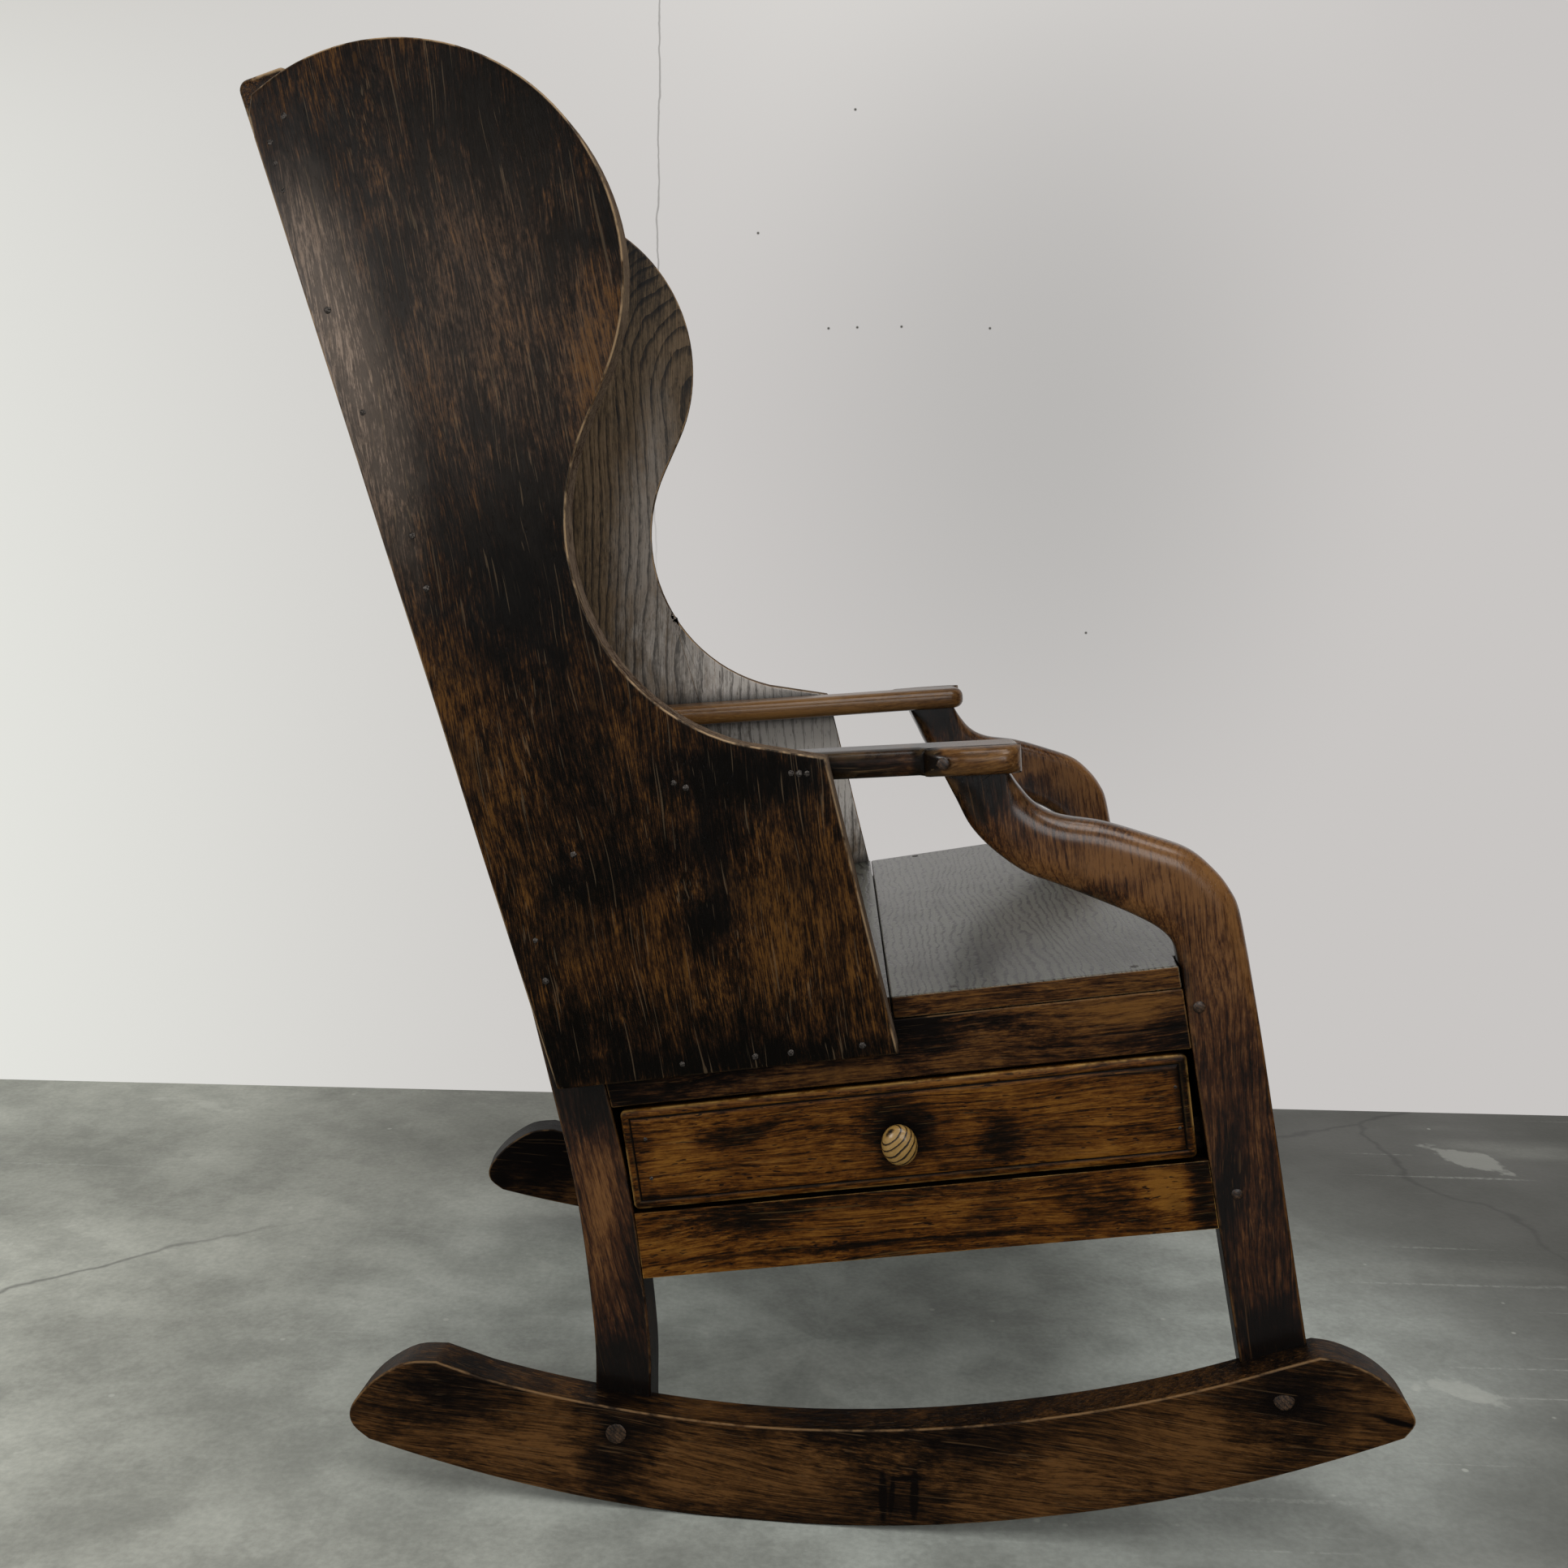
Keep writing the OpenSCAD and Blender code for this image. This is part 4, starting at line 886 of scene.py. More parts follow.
def finish_mesh(mesh: bmesh.types.BMesh, name: str, wander: float) -> bpy.types.Object:
    """Turns a bmesh into a smooth-shaded object, with its faces wandering a little.

    Args:
        mesh: the mesh, in metres in the row frame. It is freed.
        name: the object's name.
        wander: how far the hand-planed surface strays, in millimetres.

    Returns:
        The linked object.
    """
    for vert in mesh.verts:
        vert.co += noise.noise_vector(vert.co * STRAY_SCALE + STRAY_MOVE) * wander * MM
    data = bpy.data.meshes.new(name)
    mesh.to_mesh(data)
    mesh.free()
    data.shade_smooth()
    made = linked(name, data)
    weighted = made.modifiers.new("weigh", "WEIGHTED_NORMAL")
    weighted.keep_sharp = True
    weighted.weight = 60
    return baked(made)


def baked(made: bpy.types.Object) -> bpy.types.Object:
    """Applies an object's modifiers to its mesh.

    Args:
        made: the object.

    Returns:
        The same object.
    """
    depsgraph = bpy.context.evaluated_depsgraph_get()
    data = bpy.data.meshes.new_from_object(made.evaluated_get(depsgraph), depsgraph=depsgraph)
    data.name = made.name
    made.modifiers.clear()
    made.data = data
    return made


def eased(node: str, name: str, width: float, segments: int = 2) -> bpy.types.Object:
    """A copy of a CAD node with its edges eased and its faces wandering a little.

    Args:
        node: the CAD node.
        name: the new object's name.
        width: the width of the eased edge, in millimetres.
        segments: steps across the edge.

    Returns:
        The new object.
    """
    mesh = bmesh.new()
    mesh.from_mesh(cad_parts[node].data)
    bmesh.ops.remove_doubles(mesh, verts=mesh.verts[:], dist=1e-5)
    bmesh.ops.dissolve_limit(mesh, angle_limit=math.radians(1.0), verts=mesh.verts[:],
                             edges=mesh.edges[:])
    sharp = [e for e in mesh.edges if len(e.link_faces) == 2
             and e.calc_face_angle(0) > SHARP_ANGLE and e.calc_length() > LEAST_EDGE]
    made = bmesh.ops.bevel(mesh, geom=sharp, offset=width * MM, offset_type="OFFSET",
                           segments=segments, profile=0.5, affect="EDGES", clamp_overlap=True)
    wear_layer = mesh.verts.layers.float.new("wear")
    strips = set(made["faces"])
    for vert in {v for f in strips for v in f.verts}:
        if all(f in strips for f in vert.link_faces):
            vert[wear_layer] = 1.0
    return finish_mesh(mesh, name, 0.7)


def dress(made: bpy.types.Object, material: bpy.types.Material, body: Body,
          replaced: Sequence[str] = ()) -> bpy.types.Object:
    """Gives a piece its material and body, and hides the CAD nodes that it stands for.

    Args:
        made: the piece.
        material: its material.
        body: the body it moves with.
        replaced: CAD nodes that it stands for.

    Returns:
        The piece.
    """
    made.data.materials.clear()
    made.data.materials.append(material)
    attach(made, body.value)
    if replaced:
        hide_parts(*replaced)
    LOG.info("%s: %d faces, %s", made.name, len(made.data.polygons), material.name)
    return made


def dress_node(node: str, material: bpy.types.Material, body: Body, width: float,
               segments: int = 2) -> bpy.types.Object:
    """Dresses the eased copy of a CAD node, which stands for it.

    Args:
        node: the CAD node.
        material: the piece's material.
        body: the body it moves with.
        width: the width of the eased edge, in millimetres.
        segments: steps across the edge.

    Returns:
        The piece.
    """
    return dress(eased(node, f"{node}_wood", width, segments), material, body, [node])


# The chair's parts


@dataclass
class Rockers:
    """The two rockers, curved boards with eased ends."""

    run_r: float = 1176.0
    depth: float = 82.5
    top_r: float = 1073.0
    thick: float = 34.0
    proud: float = 25.0
    tail: float = 336.0
    nose: float = 511.0
    wear: float = 0.7

    def run_z(self, u: float) -> float:
        """Height of the running edge."""
        return max(0.0, self.run_r - math.sqrt(self.run_r ** 2 - u * u) - self.wear)

    def top_z(self, u: float) -> float:
        """Height of the top edge."""
        return self.depth - self.wear + self.top_r - math.sqrt(self.top_r ** 2 - u * u)

    def outline(self) -> Outline:
        """The rocker's outline, in the plane of its side.

        Returns:
            The outline's points.
        """
        t, n = -self.tail, self.nose
        tz, nz = self.run_z(t), self.run_z(n)
        tail = smooth_line([(t + 74, tz + 68), (t + 49, tz + 65), (t + 24, tz + 50), (t + 7, tz + 32),
                            (t, tz + 18), (t + 3, tz + 6), (t + 16, self.run_z(t + 16))], 4)
        nose = smooth_line([(n - 7, self.run_z(n - 7)), (n, nz + 8), (n - 2, nz + 17), (n - 13, nz + 32),
                            (n - 32, nz + 46), (n - 56, nz + 55), (n - 74, nz + 57)], 4)
        foot = [(float(u), self.run_z(u)) for u in np.arange(t + 40, n - 22, 15.0)]
        top = [(float(u), self.top_z(u)) for u in np.arange(n - 104, t + 100, -15.0)]
        return tail + foot + nose + top

    def build(self) -> None:
        """Makes both rockers."""
        for side in Side:
            plane = side_plane(side)
            made = Slab(f"rocker_{side.word}_board", self.outline(), self.proud - self.thick,
                        self.proud, plane, high_r=1.8, low_r=1.8).build()
            stains = (Stain(-112, 66, 46, 60, 0.45), Stain(-246, 88, 70, 34, 0.35),
                      Stain(414, 136, 60, 52, 0.4), Stain(120, 34, 56, 40, 0.35),
                      Stain(73, 82, 70, 20, 0.35), Stain(185, 84, 60, 30, 0.3),
                      Stain(106, 30, 3.2, 22, 0.9, 2, 0.3), Stain(113, 31, 2.2, 18, 0.8, -3, 0.3),
                      Stain(131, 33, 3.4, 22, 0.9, 1, 0.3), Stain(122, 47, 14, 3, 0.6, 4, 0.3),
                      Stain(496, 126, 22, 2.6, 1.0, -12, 0.2), Stain(-112, 66, 13, 13, 0.5, 0, 0.3),
                      Stain(412, 137, 13, 13, 0.5, 0, 0.3))
            if side is Side.LEFT:
                stains += (Stain(-290, 100, 150, 90, 0.5),)
            rubs = (Stain(-185, 61, 90, 40, 0.22), Stain(2, 38, 110, 30, 0.18),
                    Stain(234, 61, 80, 40, 0.2), Stain(345, 100, 70, 40, 0.3),
                    Stain(478, 134, 60, 30, 0.2))
            wood = ELM_ROCKER.make(f"rocker_{side.word}", plane, math.radians(-4), seed=side.value * 1.3,
                                   stains=stains, rubs=rubs)
            dress(made, wood, Body.CHAIR, [f"rocker_{side.word}"])


@dataclass
class Posts:
    """The four posts, each one curved piece from the rocker up."""

    rockers: Rockers
    rear_w: float = 46.0
    rear_t: float = 36.0
    front_t: float = 30.0
    leg_w: float = 54.0
    rear_foot: float = 110.0
    front_foot: float = 410.0
    knee_u: float = 343.0
    lap: float = 66.0
    grip_u: float = 159.0
    crest_entry: float = 6.0

    def rear_outline(self) -> Outline:
        """A rear post, bent at the seat, with its top inside the crest rail.

        Returns:
            The outline's points.
        """
        foot_z = self.rockers.top_z(self.rear_foot) - self.lap
        root = STANCE.on_back(0, 0)
        edge = smooth_line([
            (-self.rear_foot - self.rear_w / 2 - 1, foot_z),
            (-self.rear_foot - self.rear_w / 2 - 1, foot_z + 60),
            (-self.rear_foot - self.rear_w / 2 - 3, foot_z + 120),
            (root[0] + 22, root[1] - 3 * self.rear_w), (root[0] + 1.5, root[1] - 48),
            STANCE.on_back(-2, 137)], 6)
        width = self.rear_w * math.cos(STANCE.back_rake)
        foot, entry = STANCE.crest_foot, STANCE.crest_foot + self.crest_entry
        top = [STANCE.on_back(n, s) for n, s in ((-2, entry), (30, entry), (30, foot), (width - 2, foot))]
        return edge + top + [(u + self.rear_w, z) for u, z in reversed(edge)]

    def front_outline(self) -> Outline:
        """A front post, straight to the seat and curved back under the arm.

        Returns:
            The outline's points.
        """
        knee = (self.knee_u, STANCE.on_side(self.knee_u, 0)[1])
        grip = (self.grip_u, STANCE.arm_foot(self.grip_u))
        foot = (self.front_foot - self.leg_w / 2 - 1, self.rockers.top_z(self.front_foot) - 10)
        lap_in = (foot[0] + 12, self.rockers.top_z(self.front_foot) - self.lap)
        inner = smooth_line(
            shifted(knee, [(-25, -2), (-29, 12), (-40, 23), (-60, 33), (-86, 43)])
            + shifted(grip, [(66, -85), (40, -76), (16, -60), (-2, -42), (-14, -21), (-24, -2)]), 6)
        outer = smooth_line(
            shifted(knee, [(28, 4), (19.5, 40), (11.5, 56), (-0.5, 70.5), (-20, 85.5), (-49, 95)])
            + shifted(grip, [(99, -35), (66, -31), (47, -23), (33, -9), (25, 2)]), 6)
        top = shifted(grip, [(-24, 10), (25, 12)])
        return ([lap_in, foot] + inner + top + outer[::-1]
                + [(foot[0] + self.leg_w, foot[1]), (lap_in[0] + self.leg_w, lap_in[1])])

    @staticmethod
    def rear_round(u: float, z: float) -> float:
        """The rounding of a rear post: nearly none at the crest rail."""
        return 0.2 if STANCE.off_back(u, z)[1] > STANCE.crest_foot - 2.0 else 2.4

    @staticmethod
    def front_round(u: float, z: float) -> float:
        """The rounding of a front post: nearly sharp on the leg, full on the curve.

        Args:
            u: how far forward the place is.
            z: its height.

        Returns:
            The radius there.
        """
        share = min(1.0, max(0.0, (z - 400.0) / 110.0))
        under = min(1.0, max(0.0, (STANCE.arm_foot(u) + 2.0 - z) / 22.0))
        return 2.6 + 15.5 * share * share * (3 - 2 * share) * under

    def build(self) -> None:
        """Makes the four posts."""
        for side in Side:
            plane = side_plane(side)
            rear = Slab(f"rear_post_{side.word}_wood", self.rear_outline(), -self.rear_t, 0.0, plane,
                        high_r=self.rear_round, low_r=self.rear_round).build()
            stains = (Stain(-140, 345, 60, 50, 0.5), Stain(-108, 104, 60, 50, 0.5),
                      Stain(-97, 199, 14, 50, 0.35), Stain(-180, 420, 60, 60, 0.5))
            wood = FRUIT_POST.make(f"rear_post_{side.word}", plane, math.radians(14), upright=True,
                                   seed=2.0 + side.value, stains=stains,
                                   rubs=(Stain(-129, 250, 14, 70, 0.3),))
            dress(rear, wood, Body.CHAIR, [f"rear_post_{side.word}"])
            front = Slab(f"front_post_{side.word}_wood", self.front_outline(), -self.front_t, 0.0, plane,
                         high_r=self.front_round, low_r=lambda u, z: self.front_round(u, z) * 0.6,
                         step=7.0, segments=6, high_rim=round_rim(8, 3.0, 0.62), cell=40.0).build()
            stains = (Stain(408, 174, 60, 40, 0.5), Stain(366, 300, 14, 70, 0.3),
                      Stain(370, 290, 60, 150, 0.14),
                      Stain(150, 600, 44, 34, 0.5), Stain(320, 440, 16, 70, 0.3),
                      Stain(230, 510, 110, 14, 0.4, 24))
            rubs = (Stain(290, 543, 110, 30, 0.42), Stain(384, 300, 14, 90, 0.12),
                    Stain(342, 500, 40, 60, 0.15))
            wood = FRUIT_POST.make(f"front_post_{side.word}", plane, math.radians(8), upright=True,
                                   seed=5.0 + side.value, stains=stains, rubs=rubs)
            dress(front, wood, Body.CHAIR, [f"front_post_{side.word}"])


@dataclass
class Wings:
    """The wide boards of the sides, each rising into a round wing."""

    thick: float = 24.0
    height: float = 743.0
    corner_n: float = 8.0
    corner_s: float = 26.0
    round_r: float = 172.0
    round_n: float = 72.0
    waist_r: float = 171.0
    waist_n: float = 134.0
    waist_s: float = 332.0
    side_w: float = 279.0
    side_s: float = 156.0
    lean: float = math.radians(2.5)
    joint_n: float = 138.0
    drop: float = 39.0

    def edge(self) -> Outline:
        """The wing's shaped edge, from the rear top corner to the side's front corner.

        Returns:
            Places (n, s) from the back's line.
        """
        centre = (self.round_n, self.height - math.sqrt(self.round_r ** 2 - self.round_n ** 2))
        waist = (self.waist_n + self.waist_r, self.waist_s)
        line = (waist[0] - centre[0], waist[1] - centre[1])
        turn = math.atan2(line[1], line[0]) + math.acos(
            min(1.0, (self.round_r + self.waist_r) / math.hypot(*line)))
        start = math.pi - math.acos((self.round_n - self.corner_n) / self.round_r)
        return ([(0.0, self.height - self.corner_s), (2.2, self.height - 8.0)]
                + arc(centre, self.round_r, start, turn, 44)
                + arc(waist, self.waist_r, turn + math.pi, math.radians(240), 24)
                + [(self.side_w, self.side_s)])

    def outline(self) -> Outline:
        """The whole side's outline, in the plane of the side.

        Returns:
            The outline's points.
        """
        reach = 900.0
        edge = self.edge()
        points = [STANCE.on_back(n, s) for n, s in edge]
        foot = (STANCE.on_side(-500, -self.drop), STANCE.on_side(500, -self.drop))
        front_low = STANCE.on_back(self.side_w - reach * math.tan(self.lean), self.side_s - reach)
        front = meet(points[-1], front_low, *foot)
        rear = meet(STANCE.on_back(0, 0), STANCE.on_back(0, 100), *foot)
        return points + [front, rear]

    def parts(self) -> tuple[Outline, Outline]:
        """The outlines of the side's two boards.

        Returns:
            The main board's outline, and that of the board joined on in front.
        """
        whole = self.outline()
        low, high = STANCE.on_back(self.joint_n, -300), STANCE.on_back(self.joint_n, 0)
        foot = meet(low, high, whole[-1], whole[-2])
        edge = self.edge()
        split = next(i for i, (n, s) in enumerate(edge) if s < self.waist_s and n > self.joint_n)
        s = self.waist_s - math.sqrt(self.waist_r ** 2
                                     - (self.waist_n + self.waist_r - self.joint_n) ** 2)
        corner = STANCE.on_back(self.joint_n, s)
        return whole[:split] + [corner, foot, whole[-1]], [corner] + whole[split:-1] + [foot]

    def build(self) -> None:
        """Makes the sides: one skin for the right one, two boards for the left one."""
        rake = STANCE.back_rake
        stains = (Stain(-275, 1010, 24, 110, 0.3, -12), Stain(-240, 1090, 130, 60, 0.3),
                  Stain(-183, 765, 50, 90, 0.3), Stain(-8, 607, 80, 26, 0.5),
                  Stain(-120, 526, 60, 26, 0.45, 8), Stain(-43, 497, 26, 34, 0.4, -20),
                  Stain(-60, 378, 200, 16, 0.5, 8), Stain(-155, 385, 30, 30, 0.4),
                  Stain(-128, 1000, 60, 8, 0.3), Stain(-30, 560, 60, 16, 0.2, 15),
                  Stain(-100, 400, 190, 40, 0.25), Stain(-195, 800, 90, 120, 0.22),
                  Stain(-120, 1020, 60, 90, 0.15), Stain(-215, 975, 80, 110, 0.2),
                  Stain(-350, 1060, 60, 60, 0.2))
        rubs = (Stain(-131, 915, 34, 110, 0.2, -14), Stain(-238, 962, 40, 90, 0.12, -14),
                Stain(-216, 617, 40, 50, 0.12, -14), Stain(28, 480, 70, 60, 0.22),
                Stain(-55, 515, 60, 24, 0.25), Stain(-108, 640, 50, 60, 0.15),
                Stain(-90, 450, 90, 40, 0.1), Stain(-218, 540, 16, 90, 0.15, -14))
        # Painted sheen: a grey-brown band up the wing's rear edge stands in for the window's reflection in
        # the wax
        sheen_patches = (Stain(-320, 918, 36, 150, 1.0, 17, 0.7), Stain(-350, 975, 22, 90, 0.25, 17, 0.7),
                  Stain(-300, 800, 30, 90, 0.2, 17), Stain(-230, 950, 130, 190, 0.2, 17))
        # Painted sheen on the inner faces: below the arm and up the waist, where the wax reflects the
        # lamps
        inside_sheen = (Stain(60, 570, 160, 130, 2.3), Stain(-70, 665, 110, 80, 0.8),
                  Stain(-158, 780, 42, 120, 0.35), Stain(-148, 905, 24, 70, 0.15))
        for side in Side:
            plane = side_plane(side)
            wood = ELM_WING.make(f"wing_{side.word}", plane, 0.62 * rake, upright=True,
                                 seed=8.0 + side.value, stains=stains, rubs=rubs, sheen_patches=sheen_patches)
            inside = ELM_ARCHED.make(f"wing_{side.word}_inside", plane, 0.03, upright=True,
                                     seed=12.0 + side.value, sheen_patches=inside_sheen,
                                     stains=(Stain(-190, 1080, 90, 80, 0.3),))
            edges = ELM_EDGE.make(f"wing_{side.word}_edges", plane, rake, upright=True,
                                  seed=14.0 + side.value)
            nodes = [f"wing_board_{side.word}", f"wing_front_board_{side.word}"]
            pieces = [(nodes[0], self.outline(), nodes)] if side is Side.RIGHT else [
                (nodes[0], self.parts()[0], nodes[:1]), (nodes[1], self.parts()[1], nodes[1:])]
            arris = self.arris if side is Side.LEFT else 1.8
            for name, outline, replaced in pieces:
                made = Slab(f"{name}_wood", outline, 0.0, self.thick, plane, high_r=arris,
                            low_r=arris, worn=self.worn, cell=60.0).build()
                dress(made, wood, Body.CHAIR, replaced)
                self.line_inside(made, inside, edges, side)

    def arris(self, u: float, z: float) -> float:
        """The rounding of a jointed side's edges: nearly none along the joint."""
        return 0.4 if abs(STANCE.off_back(u, z)[0] - self.joint_n) < 1.5 else 1.8

    def worn(self, u: float, z: float) -> float:
        """How much an edge is rubbed: most on the shaped edge, least along the foot.

        Args:
            u: how far forward the place is.
            z: its height.

        Returns:
            The share of the full wear there.
        """
        n, up = STANCE.off_back(u, z)
        b = (z - STANCE.seat_h) * math.cos(STANCE.side_pitch) - u * math.sin(STANCE.side_pitch)
        if b < 1.0 - self.drop:
            return 0.05
        return 1.0 if n > 1.0 and up > self.side_s + 2.0 else 0.75

    @staticmethod
    def line_inside(made: bpy.types.Object, inside: bpy.types.Material, edges: bpy.types.Material,
                    side: Side) -> None:
        """Gives the faces that look to the middle, and the board's edges, their own finish.

        Args:
            made: the board.
            inside: the material of the face that looks to the middle.
            edges: the material of the board's edges.
            side: the side that the board is on.
        """
        made.data.materials.append(inside)
        made.data.materials.append(edges)
        for face in made.data.polygons:
            if face.normal.y * side.value < -0.8:
                face.material_index = 1
            elif abs(face.normal.y) < 0.3:
                face.material_index = 2


@dataclass
class Arms:
    """The arms, boards that run from the back along the wings to the front posts."""

    width: float = 45.0
    front: float = 192.0
    ear_l: float = 73.0
    ear_t: float = 16.0
    corner: float = 14.5
    rear: float = -188.0
    round_r: float = 8.8

    def build(self) -> None:
        """Makes both arms and their ears."""
        for side in Side:
            plane = side_plane(side, STANCE.arm_pitch, (0.0, STANCE.arm_h))
            c = math.cos(STANCE.arm_pitch)
            front, ear = self.front / c, (self.front - self.ear_l) / c
            r = self.corner
            body = ([(self.rear, -self.width)]
                    + arc((front - r, -self.width + r), r, -math.pi / 2, 0, 8)
                    + [(front, 0.0), (self.rear, 0.0)])
            swelling = smooth_line([
                (ear, 0.25 * self.ear_t), (ear + 0.06 * self.ear_l, 0.5 * self.ear_t),
                (ear + 0.18 * self.ear_l, 0.78 * self.ear_t), (ear + 0.38 * self.ear_l, self.ear_t)], 4)
            lobe = [(ear, 0.0), (front, 0.0)] + arc(
                (front - r, self.ear_t - r), r, 0, math.pi / 2, 8) + swelling[::-1]
            flat = self.lying(plane)
            limit = ear - 2

            def arm_round(u: float, v: float) -> float:
                """Full rounding, but sharp where the ear is joined on."""
                return 0.7 if v > -1.0 and u > limit else self.round_r

            def ear_round(u: float, v: float) -> float:
                """Full rounding, less where the ear is thin, and sharp at the joint."""
                return 0.7 if v < 1.0 else min(self.round_r + 0.6, 2.0 + 0.5 * v)

            stains = (Stain(120, -11, 12, 30, 0.8), Stain(60, -11, 60, 24, 0.45),
                      Stain(20, -11, 30, 24, 0.6))
            rubs = ()
            # The far arm is lightened all over with one broad rub: painted light where the near wing
            # shades it
            if side is Side.LEFT:
                stains, rubs = (), (Stain(0, -11, 220, 60, 0.35),)
            wood = FRUIT_ARM.make(f"arm_{side.word}", plane, 0.0, seed=15.0 + side.value,
                                  stains=stains, rubs=rubs)
            made = Slab(f"arm_{side.word}_wood", body, -STANCE.arm_t, 0.0, flat, high_r=arm_round,
                        low_r=arm_round, step=6.0, segments=5, cell=30.0).build()
            dress(made, wood, Body.CHAIR, [f"arm_{side.word}"])
            wood = FRUIT_ARM.make(f"arm_ear_{side.word}", plane, 0.1, seed=18.0 + side.value,
                                  stains=(Stain(124, -11, 10, 30, 0.9),),
                                  rubs=(Stain(175, -8, 22, 16, 0.12),))
            made = Slab(f"arm_ear_{side.word}_wood", lobe, -STANCE.arm_t, 0.0, flat,
                        high_r=ear_round, low_r=ear_round, step=5.0, segments=5, cell=30.0).build()
            dress(made, wood, Body.CHAIR, [f"arm_ear_{side.word}"])

    @staticmethod
    def lying(plane: Plane) -> Plane:
        """The same plane with its second and third axes changed over, for a plan view."""
        swap = Matrix(((1, 0, 0), (0, 0, 1), (0, 1, 0)))
        return Plane(plane.scale, swap @ plane.turn, swap @ plane.shift)


@dataclass
class FrameRails:
    """The rails and boards of the frame under the seat."""

    upper_ease: float = 1.6
    lower_ease: float = 2.6
    cross_upper_ease: float = 2.0
    cross_lower_ease: float = 2.4
    board_ease: float = 0.6
    runner_ease: float = 0.8

    def build(self) -> None:
        """Makes the side rails, the cross rails and the boards between them."""
        pitch = STANCE.side_pitch
        for side in Side:
            plane = side_plane(side, pitch, (0.0, STANCE.seat_h))
            stains = (Stain(-100, -50, 120, 40, 0.4), Stain(320, -55, 30, 40, 0.4),
                      Stain(112, -16, 50, 40, 0.8), Stain(185, -27, 30, 10, 0.4))
            rubs = (Stain(205, -16, 60, 12, 0.3), Stain(290, -30, 70, 14, 0.3),
                    Stain(20, -60, 120, 8, 0.2))
            wood = ELM_RAIL.make(f"upper_rail_{side.word}", plane, 0.0, seed=21.0 + side.value,
                                 stains=stains, rubs=rubs)
            dress_node(f"upper_rail_{side.word}", wood, Body.CHAIR, self.upper_ease)
            stains = (Stain(-45, -170, 70, 14, 0.4), Stain(322, -180, 14, 50, 0.5),
                      Stain(80, -162, 160, 9, 0.25), Stain(250, -183, 34, 18, 0.3),
                      Stain(163, -180, 26, 16, 0.2), Stain(0, -199, 400, 4, 0.3))
            rubs = (Stain(295, -178, 26, 30, 0.35), Stain(66, -180, 70, 20, 0.15),
                    Stain(-100, -184, 30, 20, 0.2))
            wood = OAK_GOLD.make(f"lower_rail_{side.word}", plane, 0.0, seed=24.0 + side.value,
                                 stains=stains, rubs=rubs)
            dress_node(f"lower_rail_{side.word}", wood, Body.CHAIR, self.lower_ease, 3)
        for i, (node, finish, slot, width) in enumerate((
                ("front_upper_rail", ELM_RAIL, Slot.RAIL, self.cross_upper_ease),
                ("front_lower_rail", ELM_RAIL, Slot.RAIL, self.cross_lower_ease),
                ("rear_upper_rail", ELM_RAIL, Slot.RAIL, self.cross_upper_ease),
                ("rear_lower_rail", ELM_RAIL, Slot.RAIL, self.cross_lower_ease),
                ("front_infill", ELM_RAIL, Slot.INNER, self.board_ease),
                ("rear_infill", ELM_RAIL, Slot.INNER, self.board_ease),
                ("side_infill_left", ELM_RAIL, Slot.INNER, self.board_ease),
                ("seat_bearer", DRY_BOARD, Slot.INNER, self.runner_ease),
                ("drawer_runner_front", DRY_BOARD, Slot.INNER, self.runner_ease),
                ("drawer_runner_rear", DRY_BOARD, Slot.INNER, self.runner_ease))):
            across = node != "side_infill_left"
            wood = finish.make(node, SEAT_PLANE, seed=30.0 + i, across=across)
            dress_node(node, wood, Body.CHAIR, width)


@dataclass
class Seat:
    """The seat's two boards, with the grain across the chair."""

    ease: float = 1.8

    def build(self) -> None:
        """Makes both boards."""
        for i, node in enumerate(("seat_front_board", "seat_rear_board")):
            wood = ELM_SEAT.make(node, SEAT_PLANE, seed=40.0 + 3 * i, across=True)
            edges = ELM_RAIL.make(f"{node}_edge", SEAT_PLANE, seed=43.0 + i)
            made = dress_node(node, wood, Body.CHAIR, self.ease, 3)
            made.data.materials.append(edges)
            for face in made.data.polygons:
                if abs(face.normal.y) > 0.8:
                    face.material_index = 1


@dataclass
class Back:
    """The back's upright boards, the rails behind them and the crest rail on top."""

    crest_rear: float = -7.5
    crest_face: float = 33.4
    crest_top: float = 768.0
    board_ease: float = 1.4
    rail_ease: float = 2.5

    def crest_end(self, ring: np.ndarray) -> np.ndarray:
        """How far out the crest rail's end lies at places (n, s): in the sides' plane."""
        return np.array([STANCE.half_w + STANCE.on_back(n, s)[0] * math.tan(STANCE.toe)
                         for n, s in ring])

    def build(self) -> None:
        """Makes the boards and rails."""
        root = STANCE.on_back(0, 0)
        plane = middle_plane(STANCE.back_rake, (root[0], 0, root[1]))
        rear, face, foot, top = self.crest_rear, self.crest_face, STANCE.crest_foot, self.crest_top
        turn = math.pi / 2
        outline = (arc((rear + 5, foot + 5), 5, 2 * turn, 3 * turn, 4) + [(face, foot)]
                   + arc((face - 6, top - 6), 6, 0, turn, 5)
                   + arc((rear + 8, top - 8), 8, turn, 2 * turn, 6))
        made = Slab("crest_rail_wood", outline, lambda ring: -self.crest_end(ring), self.crest_end,
                    plane, high_r=4.0, low_r=4.0, cell=60.0).build()
        wood = ELM_WING.make("crest_rail", plane, seed=60.0, across=True)
        dress(made, wood, Body.CHAIR, ["crest_rail"])
        for i in range(4):
            node = f"back_board_{i + 1}"
            wood = ELM_INSIDE.make(node, plane, upright=True, seed=50.0 + 2.7 * i)
            dress_node(node, wood, Body.CHAIR, self.board_ease)
        for i, node in enumerate(("back_mid_rail", "back_low_rail")):
            wood = ELM_WING.make(node, plane, seed=61.0 + i, across=True)
            dress_node(node, wood, Body.CHAIR, self.rail_ease, 4)


